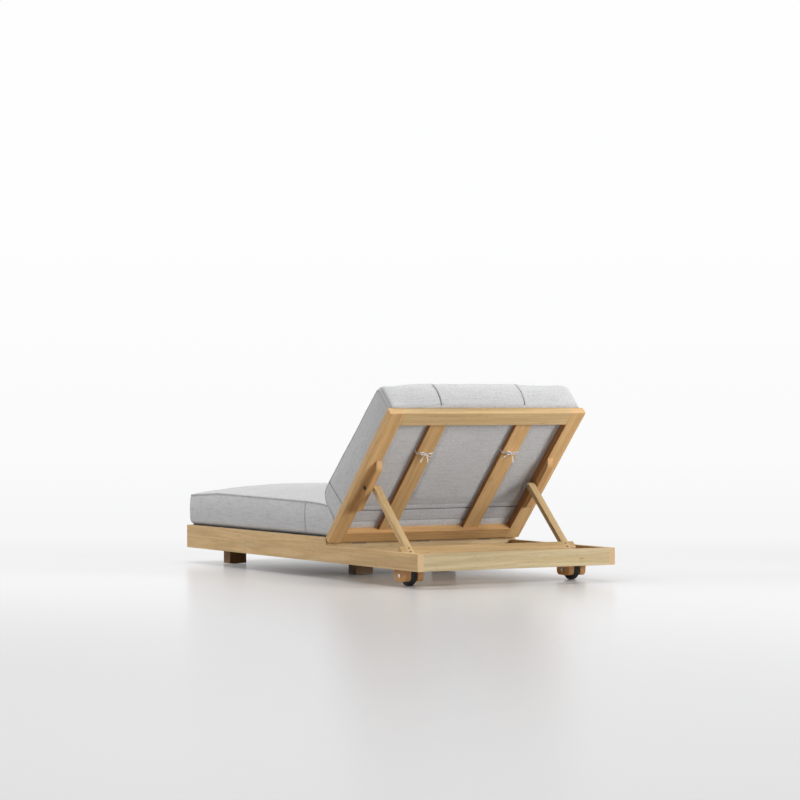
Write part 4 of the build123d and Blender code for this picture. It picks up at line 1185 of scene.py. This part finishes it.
# %% Rows of stitches
beside = 4.4 * mm
beside_deep = 7 * mm
both_sides = (-seat_half, seat_half)
below = seat_depth - beside_deep
seat_lines = [framed(seat_grid, seat_depth, 2)]
ends = [(-seat_half, seat_rear), (-seat_half, seat_foot), (seat_half, seat_foot)]
seat_lines.append([(x, y, below) for x, y in ends + [(seat_half, seat_rear)]])
for x in both_sides:
    for y in (boxing_seam_y - beside, boxing_seam_y + beside):
        seat_lines.append([(x, y, 0.004), (x, y, seat_depth - 0.004)])

back_lines = [framed(back_grid, back_depth, 2)]
back_lines += [framed(back_grid, x, 0) for x in both_sides]
for seam in channels:
    for x in (seam - beside_deep, seam + beside_deep):
        top = (x, back_end, back_depth)
        back_lines.append([(x, back_start + 0.002, back_depth), top, (x, back_end, 0.002)])
back_lines.append([(x, topstitch_s, 0) for x in both_sides])

seat_stitches = sew("seat_stitches", seat_grid, seat_placed, seat_lines)
back_stitches = sew("back_stitches", back_grid, back_placed, back_lines)
for stitches, body in ((seat_stitches, "base"), (back_stitches, "backrest")):
    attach(stitches, body)

# %% [markdown]
# ## Ties
#
# A narrow cotton tape is sewn to the cushion beside each slat, comes round both edges of the slat
# and is tied in a small bow behind it. Each run of tape is a ribbon: a flat, closed section carried
# along a smooth line, with its width turned where the tape twists. The tails hang straight down,
# away from the slat, because its rear face looks at the floor.

# %% Tape
tie_place = 0.541
slat_middle = 0.220
slat_side = 0.040
slat_rear = -0.016
tape_width = 0.0068
tape_thickness = 0.0010


def smooth_line(corners, steps=7):
    """A smooth line through a few places, as a Catmull-Rom spline."""
    p = np.array(corners, float)
    p = np.vstack([2 * p[0] - p[1], p, 2 * p[-1] - p[-2]])
    share = np.linspace(0, 1, steps, endpoint=False)[:, None]
    runs = []
    for a, b, c, d in zip(p, p[1:], p[2:], p[3:]):
        bend = (2 * a - 5 * b + 4 * c - d) * share**2 + (3 * b - a - 3 * c + d) * share**3
        runs.append(0.5 * (2 * b + (c - a) * share + bend))
    return np.vstack(runs + [p[-2:-1]])


def ribbon(corners, facing, width=tape_width, thick=tape_thickness, closed=False):
    """A tape along a line: points, faces and UV. facing is the way of its width at each corner."""
    line = smooth_line(corners)
    across = smooth_line(facing)
    along = np.gradient(line, axis=0)
    if closed:
        line, across, along = line[:-1], across[:-1], along[:-1]
    along /= np.linalg.norm(along, axis=1, keepdims=True)
    across = across - along * (across * along).sum(1, keepdims=True)
    across /= np.linalg.norm(across, axis=1, keepdims=True)
    up = np.cross(along, across)
    w, h = width / 2, thick / 2
    section = [(w, 0), (w * 0.9, h), (0, h * 1.1), (-w * 0.9, h)]
    section += [(-w, 0), (-w * 0.9, -h), (0, -h * 1.1), (w * 0.9, -h)]
    points = np.concatenate([line + across * a + up * b for a, b in section])
    count, sides = len(line), len(section)
    faces, uv = [], []
    runs = np.linalg.norm(np.diff(line, axis=0), axis=1)
    length = np.concatenate([[0], np.cumsum(runs)])
    for ring in range(count if closed else count - 1):
        after = (ring + 1) % count
        run = (length[ring], length[after] if after else length[ring] + 0.002)
        for side in range(sides):
            nearby = (side + 1) % sides
            this, that = side * count, nearby * count
            faces.append((this + ring, this + after, that + after, that + ring))
            v = (section[side][0], section[nearby][0])
            uv += [(run[0], v[0]), (run[1], v[0]), (run[1], v[1]), (run[0], v[1])]
    if not closed:
        faces.append([side * count for side in range(sides)])
        faces.append([side * count + count - 1 for side in reversed(range(sides))])
        uv += [(0, 0)] * (2 * sides)
    return points, faces, uv


def face_outwards(mesh, crisp=math.pi):
    """Turns a closed mesh's faces outwards, smooth but for edges sharper than an angle."""
    shape = bmesh.new()
    shape.from_mesh(mesh)
    bmesh.ops.recalc_face_normals(shape, faces=shape.faces)
    for edge in shape.edges:
        edge.smooth = edge.calc_face_angle(0) < crisp
    for face in shape.faces:
        face.smooth = True
    shape.to_mesh(mesh)
    shape.free()


# %% Bows
tie_cloth = woven("tie_tape", (0.66, 0.65, 0.64), (0.86, 0.85, 0.84))
off_slat, up_slat = (0, 0, 1), (0, 1, 0)
knot_place = (0, 0, 1)
# Each strand starts at the knot and a loop ends there: mm across, up and off the slat.
strands = {
    "left": {
        "tail_long": [(8, -6, 7), (18, -14, 16), (26, -24, 26)],
        "tail_short": [(-6, -6, 6), (-13, -16, 15), (-12, -27, 24)],
        "loop_right": [(-10, 8, 4), (-22, 9, 8), (-29, 1, 10), (-21, -5, 9), (-9, -3, 5)],
        "loop_left": [(11, 10, 3), (25, 15, 5), (34, 11, 6), (26, 4, 6), (10, 0, 3)],
    },
    "right": {
        "tail_long": [(-7, -7, 6), (-14, -19, 16), (-16, -32, 27)],
        "tail_short": [(10, -5, 5), (22, -9, 9), (34, -12, 13)],
        "loop_right": [(-12, 8, 3), (-27, 12, 5), (-38, 7, 6), (-26, 1, 6), (-10, -1, 3)],
        "loop_left": [(9, 10, 3), (20, 15, 5), (29, 10, 7), (21, 2, 7), (8, -2, 4)],
    },
}
# The two turns of the knot: their lean, radius and width in mm.
knot_turns = ((0.0, 3.6, 8.5), (0.5, 3.9, 5.0))
tail_facing = [off_slat, (0.5, 0.2, 0.8), (0.9, 0.3, 0.3), (0.8, 0.5, -0.2)]
loop_facing = [off_slat, off_slat, (0.25, 0, 1), (0, 0.25, 1), (-0.25, 0, 1), off_slat, off_slat]


# %% Tie the bows
def tie_bow(name, middle):
    """One tie as one mesh, in places on the back's own axes: x, s and the way off the rear."""
    knot = np.array([middle, tie_place, slat_rear - 0.0052])
    own_axes = np.array([[1, 0, 0], [0, 1, 0], [0, 0, -1]])
    parts = []

    def local(corners):
        return [knot + own_axes @ (np.array(c) * mm) for c in corners]

    for kind, corners in strands[name].items():
        is_tail = "tail" in kind
        corners = [knot_place, *corners] + ([] if is_tail else [knot_place])
        facing = [own_axes @ np.array(way) for way in (tail_facing if is_tail else loop_facing)]
        parts.append(ribbon(local(corners), facing))
    for side in (-1, 1):
        edge = middle + side * (slat_side + 0.0011)
        rear = slat_rear - 0.0009
        round_slat = [(edge, 0.0062), (edge, -0.004), (edge, rear + 0.003)]
        round_slat += [(edge - side * 0.003, rear), (middle + side * 0.015, rear)]
        round_slat += [(middle + side * 0.002, rear - 0.002)]
        corners = [(x, tie_place, t) for x, t in round_slat]
        parts.append(ribbon(corners, [up_slat] * len(corners)))
    for lean_out, reach, wide in knot_turns:
        turns = np.linspace(0, 2 * math.pi, 9)
        rounds = [(lean_out * math.sin(a), reach * math.cos(a), reach * math.sin(a)) for a in turns]
        facing = [(1, lean_out * 0.4, 0)] * len(rounds)
        parts.append(ribbon(local(rounds), facing, wide * mm, 0.0013, True))
    points, faces, uv = [], [], []
    for part_points, part_faces, part_uv in parts:
        faces += [[index + len(points) for index in face] for face in part_faces]
        points += list(part_points)
        uv += part_uv
    mesh = new_mesh(f"tie_bow_{name}", tip_back(*np.array(points).T), faces)
    lay_uv(mesh, uv)
    face_outwards(mesh)
    mesh.materials.append(tie_cloth)
    made = put(f"tie_bow_{name}", mesh)
    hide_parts(f"cushion_tie_{name}")
    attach(made, "backrest")
    print(made.name, "faces:", len(faces))


tie_bow("left", slat_middle)
tie_bow("right", -slat_middle)

# %% [markdown]
# ## Tyres
#
# A tyre is a solid of revolution, so its outline is turned about the axle: rounded shoulders, a
# flat bore that grips the hub, and three grooves round the tread.

# %% Tyres
axle_y = 0.885
axle_z = 0.045
wheel_x = 0.4155
tyre_radius = 0.045
tyre_bore = 0.029
tyre_half_width = 0.0155
shoulder = 0.006
shoulder_steps = 6
groove_places = (-0.0055, 0, 0.0055)
groove_section = ((-0.0012, 0), (-0.0008, 0.0013), (0.0008, 0.0013), (0.0012, 0))
tyre_turns = 96
crisp_edge = math.radians(30)
print("tyre radius", tyre_radius, "metres, grooves", len(groove_places))


# %% Turn the tyres
def tyre_outline():
    """The way round a tyre's section as (place along the axle, radius), bore to bore."""
    half = [(tyre_half_width, tyre_bore)]
    for n in range(shoulder_steps + 1):
        angle = math.pi / 2 * n / shoulder_steps
        along = tyre_half_width - shoulder + shoulder * math.cos(angle)
        half.append((along, tyre_radius - shoulder + shoulder * math.sin(angle)))
    tread = [(x + off, tyre_radius - drop) for x in groove_places for off, drop in groove_section]
    return [(-x, r) for x, r in half] + tread + half[::-1]


def make_tyre(name, middle):
    """The outline turned about the axle as one closed mesh."""
    outline = tyre_outline()
    count = len(outline)
    points, faces = [], []
    for turn in range(tyre_turns):
        angle = 2 * math.pi * turn / tyre_turns
        for x, r in outline:
            points.append((middle + x, axle_y + r * math.cos(angle), axle_z + r * math.sin(angle)))
        this, after = turn * count, (turn + 1) % tyre_turns * count
        for n in range(count):
            nearby = (n + 1) % count
            faces.append((this + n, after + n, after + nearby, this + nearby))
    mesh = new_mesh(f"tyre_shape_{name}", points, faces)
    face_outwards(mesh, crisp_edge)
    mesh.materials.append(rubber)
    made = put(f"tyre_shape_{name}", mesh)
    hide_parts(f"tyre_{name}")
    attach(made, f"wheel_{name}")
    print(made.name, "faces:", len(faces))


make_tyre("left", wheel_x)
make_tyre("right", -wheel_x)
